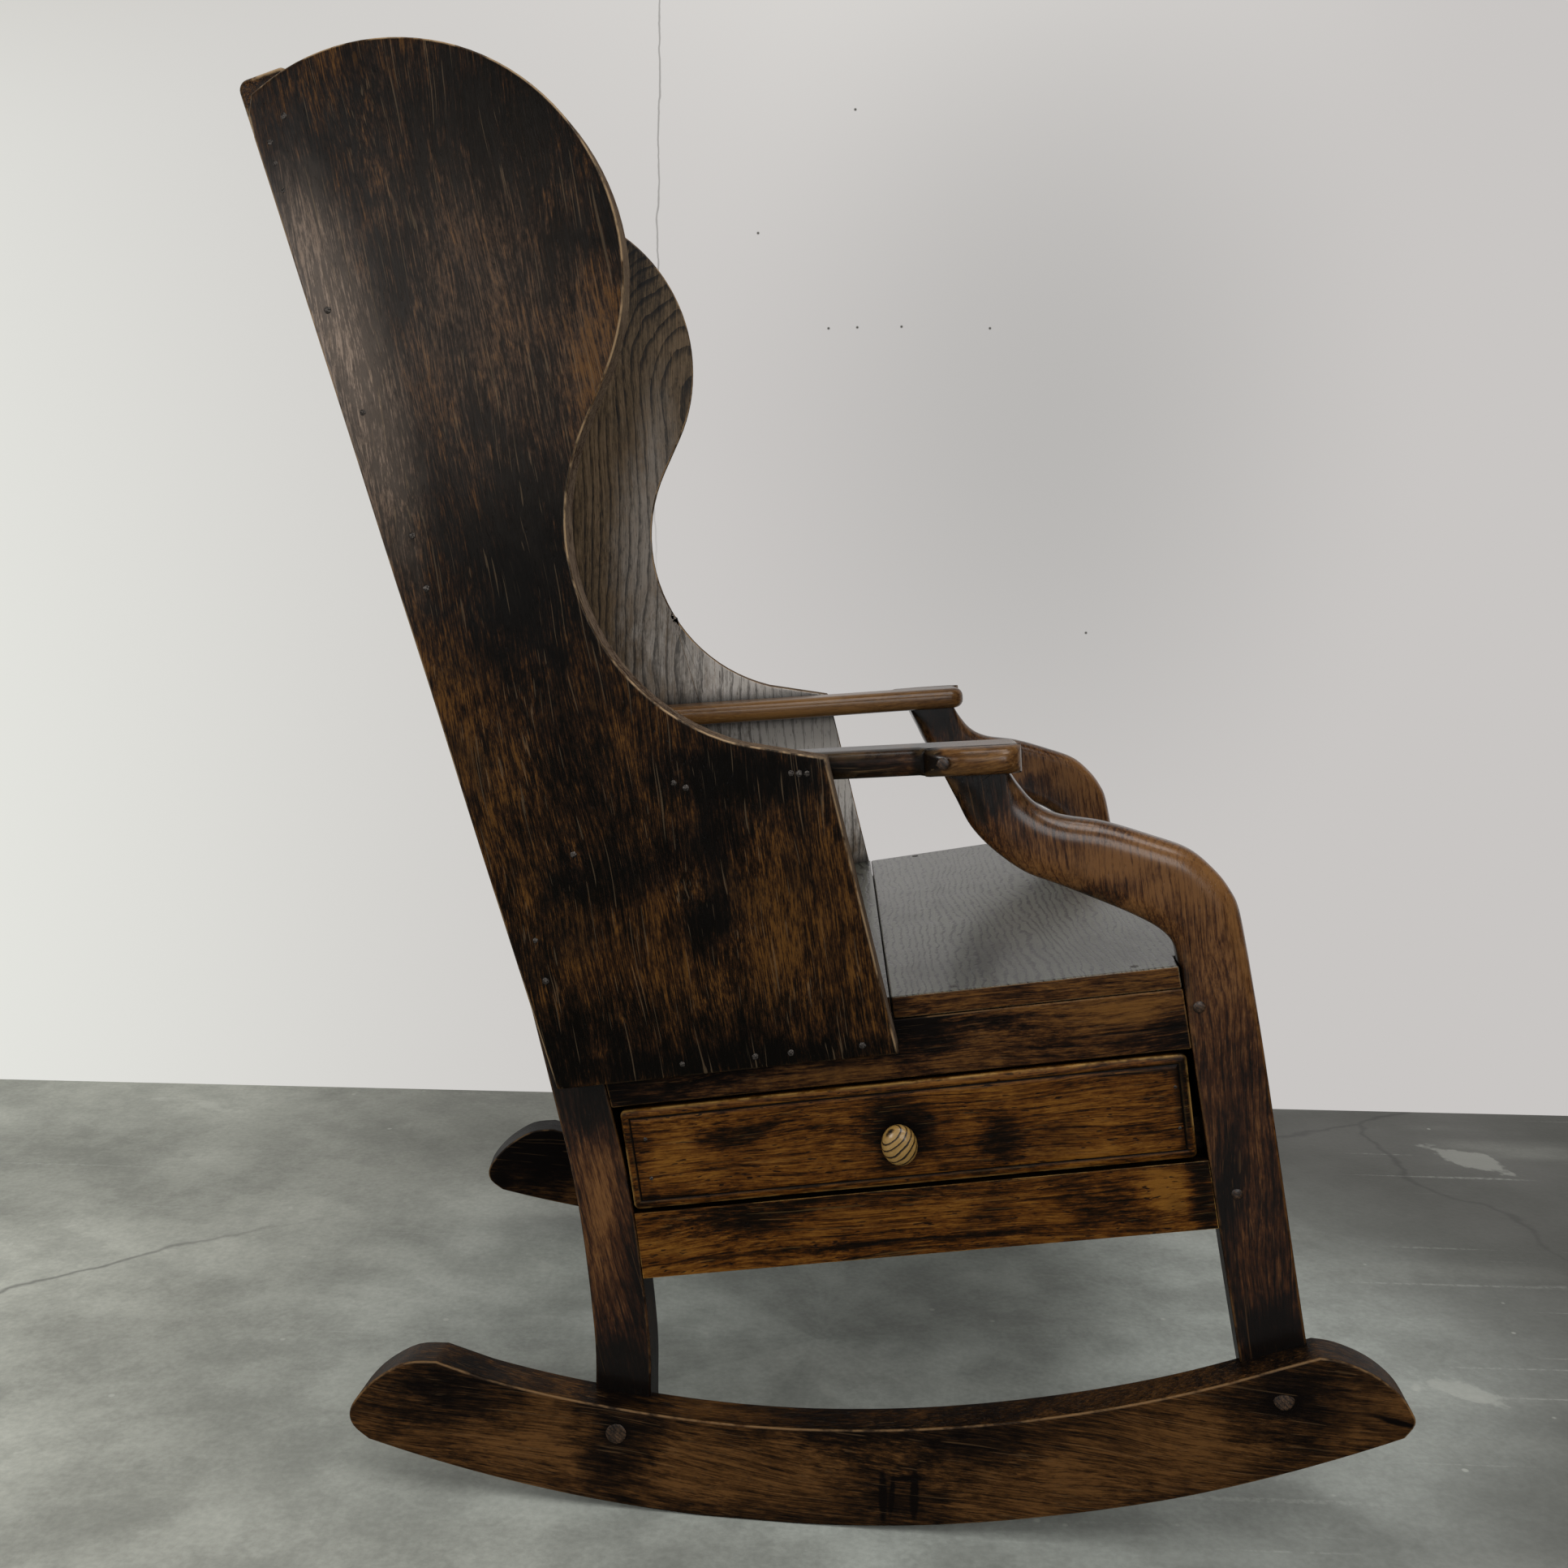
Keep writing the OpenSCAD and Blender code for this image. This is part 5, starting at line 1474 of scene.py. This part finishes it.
@dataclass
class Drawer:
    """The drawer: a moulded front with a turned knob, and a plain box behind it."""

    rear: float = -128.0
    front: float = 320.0
    foot: float = -151.5
    top: float = -68.0
    face: float = 5.0
    thick: float = 20.0
    knob_r: float = 16.0
    knob_l: float = 24.0
    knob_off: float = 2.5
    box_ease: float = 0.8

    def build(self) -> None:
        """Makes the drawer's pieces, which all slide together."""
        plane = side_plane(Side.RIGHT, STANCE.side_pitch, (0.0, STANCE.seat_h))
        thumbnail: Rim = [
            (0.0, 11.0, 0.0, 0.0, 0.0), (0.0, 8.4, 0.0, 0.0, 0.0), (0.0, 7.9, 1.2, 0.0, 1.0),
            (0.0, 7.0, 1.5, 0.0, 1.0), (0.0, 6.4, 0.6, 0.1, 0.3), (0.0, 5.0, 0.4, 0.0, 0.0),
            (0.0, 2.6, 0.8, 0.0, 0.0), (0.0, 1.5, 1.3, 0.3, 0.0), (0.0, 0.6, 2.1, 1.0, 0.0),
            (0.0, 0.1, 3.2, 0.5, 0.0), (0.0, 0.0, 4.5, 0.0, 0.0)]
        middle = ((self.rear + self.front) / 2 - self.knob_off, (self.foot + self.top) / 2 - self.knob_off)
        made = Slab("drawer_front_wood", [], self.face - self.thick, self.face, plane, high_r=1.0,
                    low_r=0.8, high_rim=thumbnail, ring_at=self.frame_ring, cell=36.0).build()
        stains = (Stain(middle[0], middle[1] + 8, 32, 32, 0.45), Stain(-37, -96, 50, 14, 0.35, 6),
                  Stain(-95, -146, 60, 12, 0.25), Stain(300, -76, 60, 12, 0.25),
                  Stain(173, -119, 22, 26, 0.3), Stain(315, -110, 8, 60, 0.35),
                  Stain(-117, -100, 14, 50, 0.2))
        rubs = (Stain(241, -106, 60, 24, 0.25), Stain(249, -138, 70, 12, 0.25),
                Stain(21, -124, 60, 14, 0.15), Stain(156, -80, 60, 10, 0.2),
                Stain(-95, -108, 30, 14, 0.15))
        wood = OAK_GOLD.make("drawer_front", plane, 0.0, seed=70.0, stains=stains, rubs=rubs)
        dress(made, wood, Body.DRAWER, ["drawer_front"])
        self.build_knob(plane, middle)
        for i, (node, along) in enumerate((("drawer_side_front", True), ("drawer_side_rear", True),
                                           ("drawer_back", False), ("drawer_bottom", False))):
            wood = DRY_BOARD.make(node, SEAT_PLANE, seed=80.0 + i, across=along)
            dress_node(node, wood, Body.DRAWER, self.box_ease)

    def frame_ring(self, inset: float) -> np.ndarray:
        """The front's outline with round corners, at a distance in from its edge.

        Args:
            inset: the distance.

        Returns:
            n by 2 places, as many at any distance.
        """
        r = max(4.5 - inset, 0.4)
        made: Outline = []
        a0, a1, b0, b1 = self.rear + inset, self.front - inset, self.foot + inset, self.top - inset
        corners = ((a0, b0), (a1, b0), (a1, b1), (a0, b1))
        for k, (a, b) in enumerate(corners):
            centre = (a + (r if a == a0 else -r), b + (r if b == b0 else -r))
            turn = math.pi * (1 + k / 2)
            made += arc(centre, r, turn, turn + math.pi / 2, 5)
            nxt = corners[(k + 1) % 4]
            count = 10 if k % 2 else 50
            end = (nxt[0] + (r if nxt[0] == a0 else -r) * (k % 2 == 0),
                   nxt[1] + (r if nxt[1] == b0 else -r) * (k % 2 == 1))
            last = made[-1]
            made += [(last[0] + (end[0] - last[0]) * i / count, last[1] + (end[1] - last[1]) * i / count)
                     for i in range(1, count)]
        return np.array(made)

    def build_knob(self, plane: Plane, middle: Point) -> None:
        """Turns the knob: a short neck and a full round head.

        Args:
            plane: the plane of the drawer's front.
            middle: the knob's place on it.
        """
        r, length = self.knob_r, self.knob_l
        profile = [(0.62 * r, -2.0)] + smooth_line([
            (0.62 * r, 0.5), (0.52 * r, 0.2 * length), (0.66 * r, 0.38 * length),
            (0.94 * r, 0.52 * length), (1.0 * r, 0.68 * length), (0.88 * r, 0.86 * length),
            (0.55 * r, 0.97 * length), (0.2 * r, 1.0 * length)], 3)
        mesh = bmesh.new()
        count, rows = 48, []
        for radius, out in profile:
            angles = np.linspace(0, 2 * math.pi, count, endpoint=False)
            points = np.column_stack([middle[0] + 0.88 * radius * np.cos(angles),
                                      np.full(count, self.face + out),
                                      middle[1] + 1.02 * radius * np.sin(angles)])
            rows.append([mesh.verts.new(p) for p in plane.out(points)])
        for a, b in zip(rows, rows[1:]):
            for i in range(count):
                mesh.faces.new((a[i], a[(i + 1) % count], b[(i + 1) % count], b[i]))
        mesh.faces.new(rows[0])
        mesh.faces.new(rows[-1][::-1])
        bmesh.ops.recalc_face_normals(mesh, faces=mesh.faces[:])
        knob_plane = side_plane(Side.RIGHT, 0.5, (120.0, 340.0))
        wood = ASH_KNOB.make("drawer_knob", knob_plane, 0.3, seed=77.0)
        dress(finish_mesh(mesh, "drawer_knob_wood", 0.3), wood, Body.DRAWER,
              ["drawer_knob"])


@dataclass
class Fastenings:
    """Pegs and nails, set out by a node tree on a point for each of them."""

    rocker_peg_r: float = 8.4
    rail_peg_r: float = 4.6
    nail_r: float = 2.6
    drawer_nail_r: float = 1.6
    seed: int = 7

    def tree(self, name: str, faceted: bool) -> bpy.types.NodeTree:
        """Builds the node tree that puts a head on every point.

        Args:
            name: the tree's name.
            faceted: whether the heads are forged and faceted, or round and flat.

        Returns:
            The tree, with inputs for the radius, the height, the seed and the material.
        """
        tree = bpy.data.node_groups.new(name, "GeometryNodeTree")
        face = tree.interface
        face.new_socket("Points", in_out="INPUT", socket_type="NodeSocketGeometry")
        for label, kind in (("Radius", "NodeSocketFloat"), ("Height", "NodeSocketFloat"),
                            ("Seed", "NodeSocketInt"), ("Finish", "NodeSocketMaterial")):
            face.new_socket(label, in_out="INPUT", socket_type=kind)
        face.new_socket("Heads", in_out="OUTPUT", socket_type="NodeSocketGeometry")
        source = add(tree, "NodeGroupInput").outputs
        if faceted:
            head = add(tree, "GeometryNodeMeshIcoSphere", {}, {"Radius": 1.0, "Subdivisions": 2})
        else:
            head = add(tree, "GeometryNodeMeshUVSphere", {}, {
                "Segments": 24, "Rings": 10, "Radius": 1.0})
        rough = add(tree, NOISE, {}, {"Scale": 1.7 if faceted else 0.6, "Detail": 1.0})
        offset = add(tree, VECTOR_MATH, TIMES_PLUS, {
            0: rough.outputs["Color"], 1: (0.5,) * 3 if faceted else (0.2,) * 3,
            2: (-0.25,) * 3 if faceted else (-0.1,) * 3})
        shaped = add(tree, "GeometryNodeSetPosition", {}, {
            "Geometry": head, "Offset": offset})
        size = add(tree, "ShaderNodeCombineXYZ", {}, {
            0: source["Radius"], 1: source["Radius"], 2: source["Height"]})
        normal = add(tree, "GeometryNodeInputNamedAttribute", {"data_type": "FLOAT_VECTOR"},
                     {"Name": "way"})
        aim = add(tree, "FunctionNodeAlignRotationToVector", {"axis": "Z"}, {
            "Vector": normal})
        spin = add(tree, "FunctionNodeRandomValue", {"data_type": "FLOAT_VECTOR"}, {
            0: (-0.12, -0.12, 0.0), 1: (0.12, 0.12, 6.28), "Seed": source["Seed"]})
        turned = add(tree, "FunctionNodeRotateRotation", {"rotation_space": "LOCAL"}, {
            0: aim, 1: add(tree, "FunctionNodeEulerToRotation", {}, {
                0: spin})})
        vary = add(tree, "FunctionNodeRandomValue", {"data_type": "FLOAT"}, {
            2: 0.85, 3: 1.12, "Seed": source["Seed"]})
        placed = add(tree, "GeometryNodeInstanceOnPoints", {}, {
            "Points": source["Points"], "Instance": shaped,
            "Rotation": turned,
            "Scale": add(tree, VECTOR_MATH, {"operation": "SCALE"}, {
                0: size, "Scale": vary})})
        solid = add(tree, "GeometryNodeRealizeInstances", {}, {"Geometry": placed})
        smooth = add(tree, "GeometryNodeSetShadeSmooth", {}, {
            0: solid, "Shade Smooth": not faceted})
        done = add(tree, "GeometryNodeSetMaterial", {}, {
            "Geometry": smooth, "Material": source["Finish"]})
        add(tree, "NodeGroupOutput", {}, {0: done})
        return tree

    def heads(self, name: str, tree: bpy.types.NodeTree, places: list[tuple[Vector, Vector]],
              radius: float, height: float, material: bpy.types.Material, slot: Slot, body: Body,
              replaced: Sequence[str]) -> None:
        """Runs the tree over some places and dresses the result.

        Args:
            name: the piece's name.
            tree: the node tree.
            places: where each head is, and the way it looks, in the row frame in metres.
            radius: the heads' radius in millimetres.
            height: how far they stand out, in millimetres.
            material: their material.
            slot: not used.
            body: the body they move with.
            replaced: CAD nodes that they stand for.
        """
        data = bpy.data.meshes.new(name)
        data.from_pydata([p for p, _ in places], [], [])
        way = data.attributes.new("way", "FLOAT_VECTOR", "POINT")
        for item, (_, n) in zip(way.data, places):
            item.vector = n
        made = linked(name, data)
        modifier = made.modifiers.new("heads", "NODES")
        modifier.node_group = tree
        ids = {item.name: item.identifier for item in tree.interface.items_tree
               if item.in_out == "INPUT"}
        modifier[ids["Radius"]] = radius * MM
        modifier[ids["Height"]] = height * MM
        modifier[ids["Seed"]] = self.seed
        modifier[ids["Finish"]] = material
        baked(made)
        dress(made, material, body, replaced)

    @staticmethod
    def on_plane(plane: Plane, place: Point, v: float) -> tuple[Vector, Vector]:
        """A place on a plane and the way outwards there.

        Args:
            plane: the plane.
            place: the place (u, z) on it.
            v: how far outwards it lies.

        Returns:
            The place and the way, in the row frame in metres.
        """
        a, b = plane.out(np.array([[place[0], v, place[1]], [place[0], v + 1.0, place[1]]]))
        return Vector(a), (Vector(b) - Vector(a)).normalized()

    def build(self) -> None:
        """Makes all pegs and nails."""
        round_tree, forged_tree = self.tree("peg_heads", False), self.tree("nail_heads", True)
        iron = ForgedIron().make("forged_iron")
        pegs = PEG_END.make("peg_ends", side_plane(Side.RIGHT), seed=90.0, across=True)
        rocker, rail, arm, wing = [], [], [], []
        nails = [STANCE.on_back(n, s) for n, s in (
            (27, 724), (11, 710), (10, 694), (9, 674), (14, 582), (16, 503), (24, 405), (22, 364),
            (20, 80), (18, 47), (162, 169), (170, 163), (70, 137))]
        nails += [STANCE.on_side(u, -29.0) for u in (-66, -8, 20, 76)]
        nails += [(u, 611.0) for u in (20, 26, 32)]
        for side in Side:
            plane = side_plane(side)
            for made, v, spots in (
                    (rocker, Rockers.proud, ((-112.0, 66.0), (412.0, 137.0))),
                    (rail, 0.0, ((335.0, 438.0), (372.0, 291.0))),
                    (arm, Arms.ear_t, ((134.0, STANCE.arm_foot(134.0) + STANCE.arm_t / 2),)),
                    (wing, Wings.thick, nails)):
                made += [self.on_plane(plane, spot, v) for spot in spots]
        plane = side_plane(Side.RIGHT, STANCE.side_pitch, (0.0, STANCE.seat_h))
        drawer = [self.on_plane(plane, (u, z), Drawer.face) for u in (-109.5, 309.0)
                  for z in (-93.0, -126.0)]
        for name, places, radius, height, body in (
                ("rocker_peg", rocker, self.rocker_peg_r, 0.7, Body.CHAIR),
                ("rail_peg", rail, self.rail_peg_r, 1.1, Body.CHAIR),
                ("arm_peg", arm, self.rail_peg_r, 1.0, Body.CHAIR),
                ("wing_nail", wing, self.nail_r, 0.9, Body.CHAIR),
                ("drawer_nail", drawer, self.drawer_nail_r, 0.5, Body.DRAWER)):
            tree, finish, slot = ((round_tree, pegs, Slot.PEG) if name.endswith("peg")
                                  else (forged_tree, iron, Slot.IRON))
            self.heads(f"{name}_heads", tree, places, radius, height, finish, slot, body,
                       [f"{name}s"])
        for node in ("back_nails", "seat_nails"):
            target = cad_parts[node]
            target.data.materials.clear()
            target.data.materials.append(iron)


# Floor, wall, lights and camera


@dataclass
class Studio:
    """A grey floor, a pale wall, soft lights and the camera of the photograph."""

    eye: tuple[float, float, float] = (43.0, -1480.0, 766.0)
    yaw: float = -0.0256725
    pitch: float = 0.1381567
    roll: float = 0.0200303
    wall_y: Point = (0.664, 0.771)
    reach: float = 3.4

    def camera(self) -> None:
        """Sets the camera that took the photograph."""
        data = bpy.data.cameras.new("camera")
        data.sensor_width = 36.0
        data.lens = 36.0
        data.clip_start, data.clip_end = 0.05, 60.0
        made = linked("camera", data)
        ahead = Vector((math.sin(self.yaw) * math.cos(self.pitch),
                        math.cos(self.yaw) * math.cos(self.pitch), -math.sin(self.pitch)))
        right = Vector((math.cos(self.yaw), -math.sin(self.yaw), 0.0))
        up = right.cross(ahead)
        c, s = math.cos(self.roll), math.sin(self.roll)
        right, up = right * c + up * s, -right * s + up * c
        x, y, z = (self.eye[0] - STANCE.rest_back) * MM, self.eye[1] * MM, self.eye[2] * MM
        made.matrix_world = Matrix(((right.x, up.x, -ahead.x, x), (right.y, up.y, -ahead.y, y),
                                    (right.z, up.z, -ahead.z, z), (0, 0, 0, 1)))
        bpy.context.scene.camera = made

    @staticmethod
    def sheet(name: str, corners: Sequence[tuple[float, float, float]],
              material: bpy.types.Material) -> None:
        """A flat sheet of the room.

        Args:
            name: the sheet's name.
            corners: its four corners, in metres.
            material: its material.
        """
        data = bpy.data.meshes.new(name)
        data.from_pydata([Vector(c) for c in corners], [], [(0, 1, 2, 3)])
        data.materials.append(material)
        linked(name, data)

    @staticmethod
    def wall_paint() -> bpy.types.Material:
        """Pale emulsion on a smooth wall, as bright in the view as in the photograph.

        Returns:
            The material, which is clear from behind.
        """
        material = blank("wall_emulsion")
        tree = material.node_tree
        coords = add(tree, "ShaderNodeTexCoord").outputs["Object"]
        colour = linear("#c9c6c4")
        holes = [((x, 0.72, z), (0.0022, 9.0, 0.0022), 0.3, 1.2, "#4e4c48") for x, z in (
            (-0.112, 1.21), (-0.014, 1.087), (0.025, 1.089), (0.085, 1.091), (0.205, 1.091),
            (0.354, 0.682), (0.015, 1.371))]
        # Painted light and shade on the even wall: a pool of light low at the left, a lighter patch high
        # in the middle, painted shade at the top left and a painted shadow of the chair; then real nail
        # holes
        for place, reach, low, high, code in (
                ((-1.9, 0.7, 0.3), (1.0, 9.0, 1.6), 0.3, 1.9, "#e8e9e3"),
                ((0.0, 0.7, 2.1), (0.9, 9.0, 1.0), 0.0, 1.2, "#e1dfdb"),
                ((-1.25, 0.7, 2.1), (0.7, 9.0, 0.6), 0.0, 1.4, "#bab5af"),
                # Painted soft shadow of the chair on the wall behind it
                ((0.3, 0.7, 0.95), (0.42, 9.0, 0.6), 0.0, 1.3, "#b9b7b5"), *holes):
            near = add(tree, MAPPING, PLACED, {"Vector": coords, "Location": place, "Scale": reach})
            far = add(tree, VECTOR_MATH, LENGTH, {0: near})
            share = add(tree, RANGE, SOFT, {0: far, 1: low, 2: high, 3: 1.0, 4: 0.0})
            colour = add(tree, MIX, COLOUR, {0: share, 6: colour, 7: linear(code)})
        # A hairline crack, upright, from the chair's back to the ceiling
        x, _, z = add(tree, "ShaderNodeSeparateXYZ", {}, {0: coords}).outputs
        kink = add(tree, NOISE, {}, {"Vector": coords, "Scale": 14.0, "Detail": 4.0})
        off = add(tree, MATH, TIMES_PLUS, {0: kink, 1: 0.014, 2: x})
        off = add(tree, MATH, PLUS, {0: off, 1: 0.2405})
        off = add(tree, MATH, {"operation": "ABSOLUTE"}, {0: off})
        line = add(tree, RANGE, {}, {0: off, 1: 0.0006, 2: 0.0016, 3: 0.5, 4: 0.0})
        above = add(tree, RANGE, {}, {0: z, 1: 0.7, 2: 0.95})
        crack = add(tree, MATH, TIMES, {0: line, 1: above})
        colour = add(tree, MIX, COLOUR, {0: crack, 6: colour, 7: linear("#5c5a55")})
        paint = add(tree, "ShaderNodeBsdfDiffuse", {}, {"Color": colour})
        glow = add(tree, "ShaderNodeEmission", {}, {"Color": colour, "Strength": 1.0})
        path = add(tree, "ShaderNodeLightPath").outputs
        seen = add(tree, MATH, {"operation": "MAXIMUM"}, {
            0: path["Is Camera Ray"], 1: path["Is Glossy Ray"]})
        both = add(tree, "ShaderNodeMixShader", {}, {0: seen, 1: paint, 2: glow})
        behind = add(tree, "ShaderNodeNewGeometry").outputs["Backfacing"]
        clear = add(tree, "ShaderNodeBsdfTransparent")
        sheet = add(tree, "ShaderNodeMixShader", {}, {0: behind, 1: both, 2: clear})
        add(tree, "ShaderNodeOutputMaterial", {}, {"Surface": sheet})
        return material

    @staticmethod
    def floor_screed() -> bpy.types.Material:
        """Power-floated concrete: grey, cloudy, with fine scratches and cracks. Painted light makes it
        lighter to the left and around the chair, and painted shade darker to the right and towards the
        back.

        Returns:
            The material.
        """
        material = blank("floor_screed")
        tree = material.node_tree
        coords = add(tree, "ShaderNodeTexCoord").outputs["Object"]
        marks = {}
        for part, stretch, turn, scale, detail, rough in (
                ("cloud", (1.0, 1.0, 1.0), 0.0, 2.6, 7.0, 0.62),
                ("smear", (1.2, 4.5, 1.0), 0.3, 1.0, 3.0, 0.6),
                ("grit", (1.0, 1.0, 1.0), 0.0, 160.0, 3.0, 0.6),
                ("dust", (1.0, 1.0, 1.0), 0.0, 11.0, 6.0, 0.72),
                ("scratch_1", (1.6, 60.0, 1.0), 0.5, 1.0, 2.0, 0.5),
                ("scratch_2", (1.6, 90.0, 1.0), -0.7, 1.0, 2.0, 0.5),
                ("scratch_3", (1.6, 70.0, 1.0), 1.9, 1.0, 2.0, 0.5),
                ("sway", (1.0, 1.0, 1.0), 0.0, 3.0, 5.0, 0.5)):
            at = add(tree, MAPPING, {}, {"Vector": coords, "Scale": stretch, "Rotation": (0, 0, turn)})
            marks[part] = add(tree, NOISE, {}, {
                "Vector": at, "Scale": scale, "Detail": detail, "Roughness": rough})
        cloud, grit = marks["cloud"], marks["grit"]
        bent = add(tree, VECTOR_MATH, TIMES_PLUS, {
            0: marks["sway"].outputs["Color"], 1: (0.3, 0.3, 0.0), 2: coords})
        cracks = add(tree, "ShaderNodeTexVoronoi", {"feature": "DISTANCE_TO_EDGE"}, {
            "Vector": bent, "Scale": 0.9})
        centre = add(tree, MAPPING, {}, {"Vector": bent, "Location": (1.05, 0.25, 0.0)})
        loops = add(tree, "ShaderNodeTexWave", {"wave_type": "RINGS", "rings_direction": "Z"}, {
            "Vector": centre, "Scale": 1.6, "Distortion": 3.0, "Detail": 3.0}).outputs["Fac"]
        loops = add(tree, MATH, TIMES, {0: loops, 1: cloud})
        specks = add(tree, "ShaderNodeTexVoronoi", {}, {"Vector": coords, "Scale": 16.0})
        near = add(tree, MAPPING, PLACED, {
            "Vector": coords, "Location": (0.1, 0.05, 0.0), "Scale": (0.75, 0.6, 1.0)})
        around = add(tree, VECTOR_MATH, LENGTH, {0: near})
        gritty = add(tree, RANGE, SOFT, {0: grit, 1: 0.35, 2: 0.6, 3: 0.2, 4: 1.0})
        apart = add(tree, RANGE, SOFT, {0: around, 1: 0.9, 2: 1.2, 3: 0.0, 4: 1.0})
        x, y, _ = add(tree, "ShaderNodeSeparateXYZ", {}, {0: coords}).outputs
        colour = linear("#d0d1c5")
        for value, low, high, to_low, to_high, amount, code in (
                # Painted light falling from the left: lighter to the left, darker to the right
                (x, -1.0, 0.75, 0.0, 1.0, 1.0, "#52524d"),
                # Painted shade: darker towards the back
                (y, -0.3, 0.75, 0.0, 0.3, 1.0, "#63645d"),
                # Painted light under and around the chair, which lifts its shadow
                (around, 0.3, 1.1, 0.85, 0.0, 1.0, "#ccd2ca"),
                (cloud, 0.35, 0.7, 0.45, 0.0, 1.0, "#4f504a"),
                (marks["smear"], 0.5, 0.75, 0.0, 0.4, 1.0, "#b4b5ab"),
                (marks["dust"], 0.38, 0.6, 0.25, 0.0, 1.0, "#4f504a"),
                (marks["scratch_1"], 0.69, 0.76, 0.0, 0.35, gritty, "#b4b6ae"),
                (marks["scratch_2"], 0.69, 0.76, 0.0, 0.35, gritty, "#b4b6ae"),
                (marks["scratch_3"], 0.69, 0.76, 0.0, 0.35, gritty, "#b4b6ae"),
                (grit, 0.3, 0.7, 0.16, 0.0, 1.0, "#33342f"),
                (cracks, 0.0, 0.006, 0.55, 0.0, apart, "#2b2b28"),
                (loops, 0.615, 0.64, 0.0, 0.3, 1.0, "#c8c9bf"),
                (specks, 0.03, 0.06, 0.5, 0.0, 1.0, "#c4c5bc")):
            share = add(tree, RANGE, SOFT, {0: value, 1: low, 2: high, 3: to_low, 4: to_high})
            share = add(tree, MATH, TIMES, {0: share, 1: amount})
            colour = add(tree, MIX, COLOUR, {0: share, 6: colour, 7: linear(code)})
        # The floor is dark to glossy rays, so the waxed wood doesn't mirror it
        glossy = add(tree, "ShaderNodeLightPath").outputs["Is Glossy Ray"]
        share = add(tree, MATH, TIMES, {0: glossy, 1: 0.75})
        colour = add(tree, MIX, COLOUR, {0: share, 6: colour, 7: linear("#000000")})
        bump = add(tree, "ShaderNodeBump", {}, {
            "Height": add(tree, MATH, PLUS, {0: grit, 1: cloud}), "Distance": 0.0006, "Strength": 0.5})
        sheen = add(tree, RANGE, SOFT, {0: cloud, 1: 0.3, 2: 0.7, 3: 0.62, 4: 0.45})
        shader = add(tree, "ShaderNodeBsdfPrincipled", {}, {
            "Base Color": colour, "Roughness": sheen, "Normal": bump})
        add(tree, "ShaderNodeOutputMaterial", {}, {"Surface": shader})
        return material

    @staticmethod
    def lamp(name: str, place: tuple[float, float, float], size: tuple[float, float], power: float,
             target: tuple[float, float, float] = (0.0, 0.0, 0.5)) -> None:
        """A soft oblong lamp that looks at a target.

        Args:
            name: the lamp's name.
            place: where it is, in metres.
            size: its width and height, in metres.
            power: its power in watts.
            target: the place it looks at.
        """
        data = bpy.data.lights.new(name, "AREA")
        data.shape = "RECTANGLE"
        data.size, data.size_y = size
        data.energy = power
        made = linked(name, data)
        made.location = place
        made.rotation_euler = (Vector(target) - Vector(place)).to_track_quat("-Z", "Y").to_euler()

    def build(self) -> None:
        """Makes the room, the lights and the camera."""
        r, (y0, y1) = self.reach, self.wall_y
        self.sheet("backdrop", [(-r, y0, -0.02), (r, y1, -0.02), (r, y1, 4.0), (-r, y0, 4.0)],
                   self.wall_paint())
        self.sheet("floor", [(-r, -4.0, 0.0), (r, -4.0, 0.0), (r, 4.0, 0.0), (-r, 4.0, 0.0)],
                   self.floor_screed())
        world = bpy.data.worlds.new("room")
        world.use_nodes = True
        bpy.context.scene.world = world
        tree = world.node_tree
        background = tree.nodes["Background"]
        background.inputs[0].default_value = linear("#dfe0e0")
        # The room is dim to glossy rays, so only the lamps shine in the wax
        glossy = add(tree, "ShaderNodeLightPath").outputs["Is Glossy Ray"]
        dim = add(tree, RANGE, {}, {0: glossy, 3: 1.0, 4: 0.04})
        tree.links.new(dim.outputs[0], background.inputs[1])
        for name, place, size, power in (
                ("window", (-1.9, -2.4, 1.25), (0.8, 0.7), 17.0),
                ("room", (0.45, -2.8, 1.05), (1.0, 0.9), 11.0),
                ("overhead", (0.2, -0.9, 2.9), (1.1, 0.7), 9.0),
                ("front", (0.8, -2.2, 3.1), (1.6, 1.2), 26.0)):
            self.lamp(name, place, size, power)
        self.camera()
        bpy.context.scene.view_settings.view_transform = "Standard"


def main() -> None:
    """Builds the chair piece by piece, then the room."""
    logging.basicConfig(level=logging.INFO, format="%(name)s: %(message)s")
    # Without a seed the noise that moves the meshes starts from the clock
    noise.seed_set(STRAY_SEED)
    rockers = Rockers()
    for part in (rockers, Posts(rockers), Wings(), Arms(), FrameRails(), Seat(), Back(), Drawer(),
                 Fastenings(), Studio()):
        LOG.info("building %s", type(part).__name__)
        part.build()


if __name__ == "__main__":
    main()
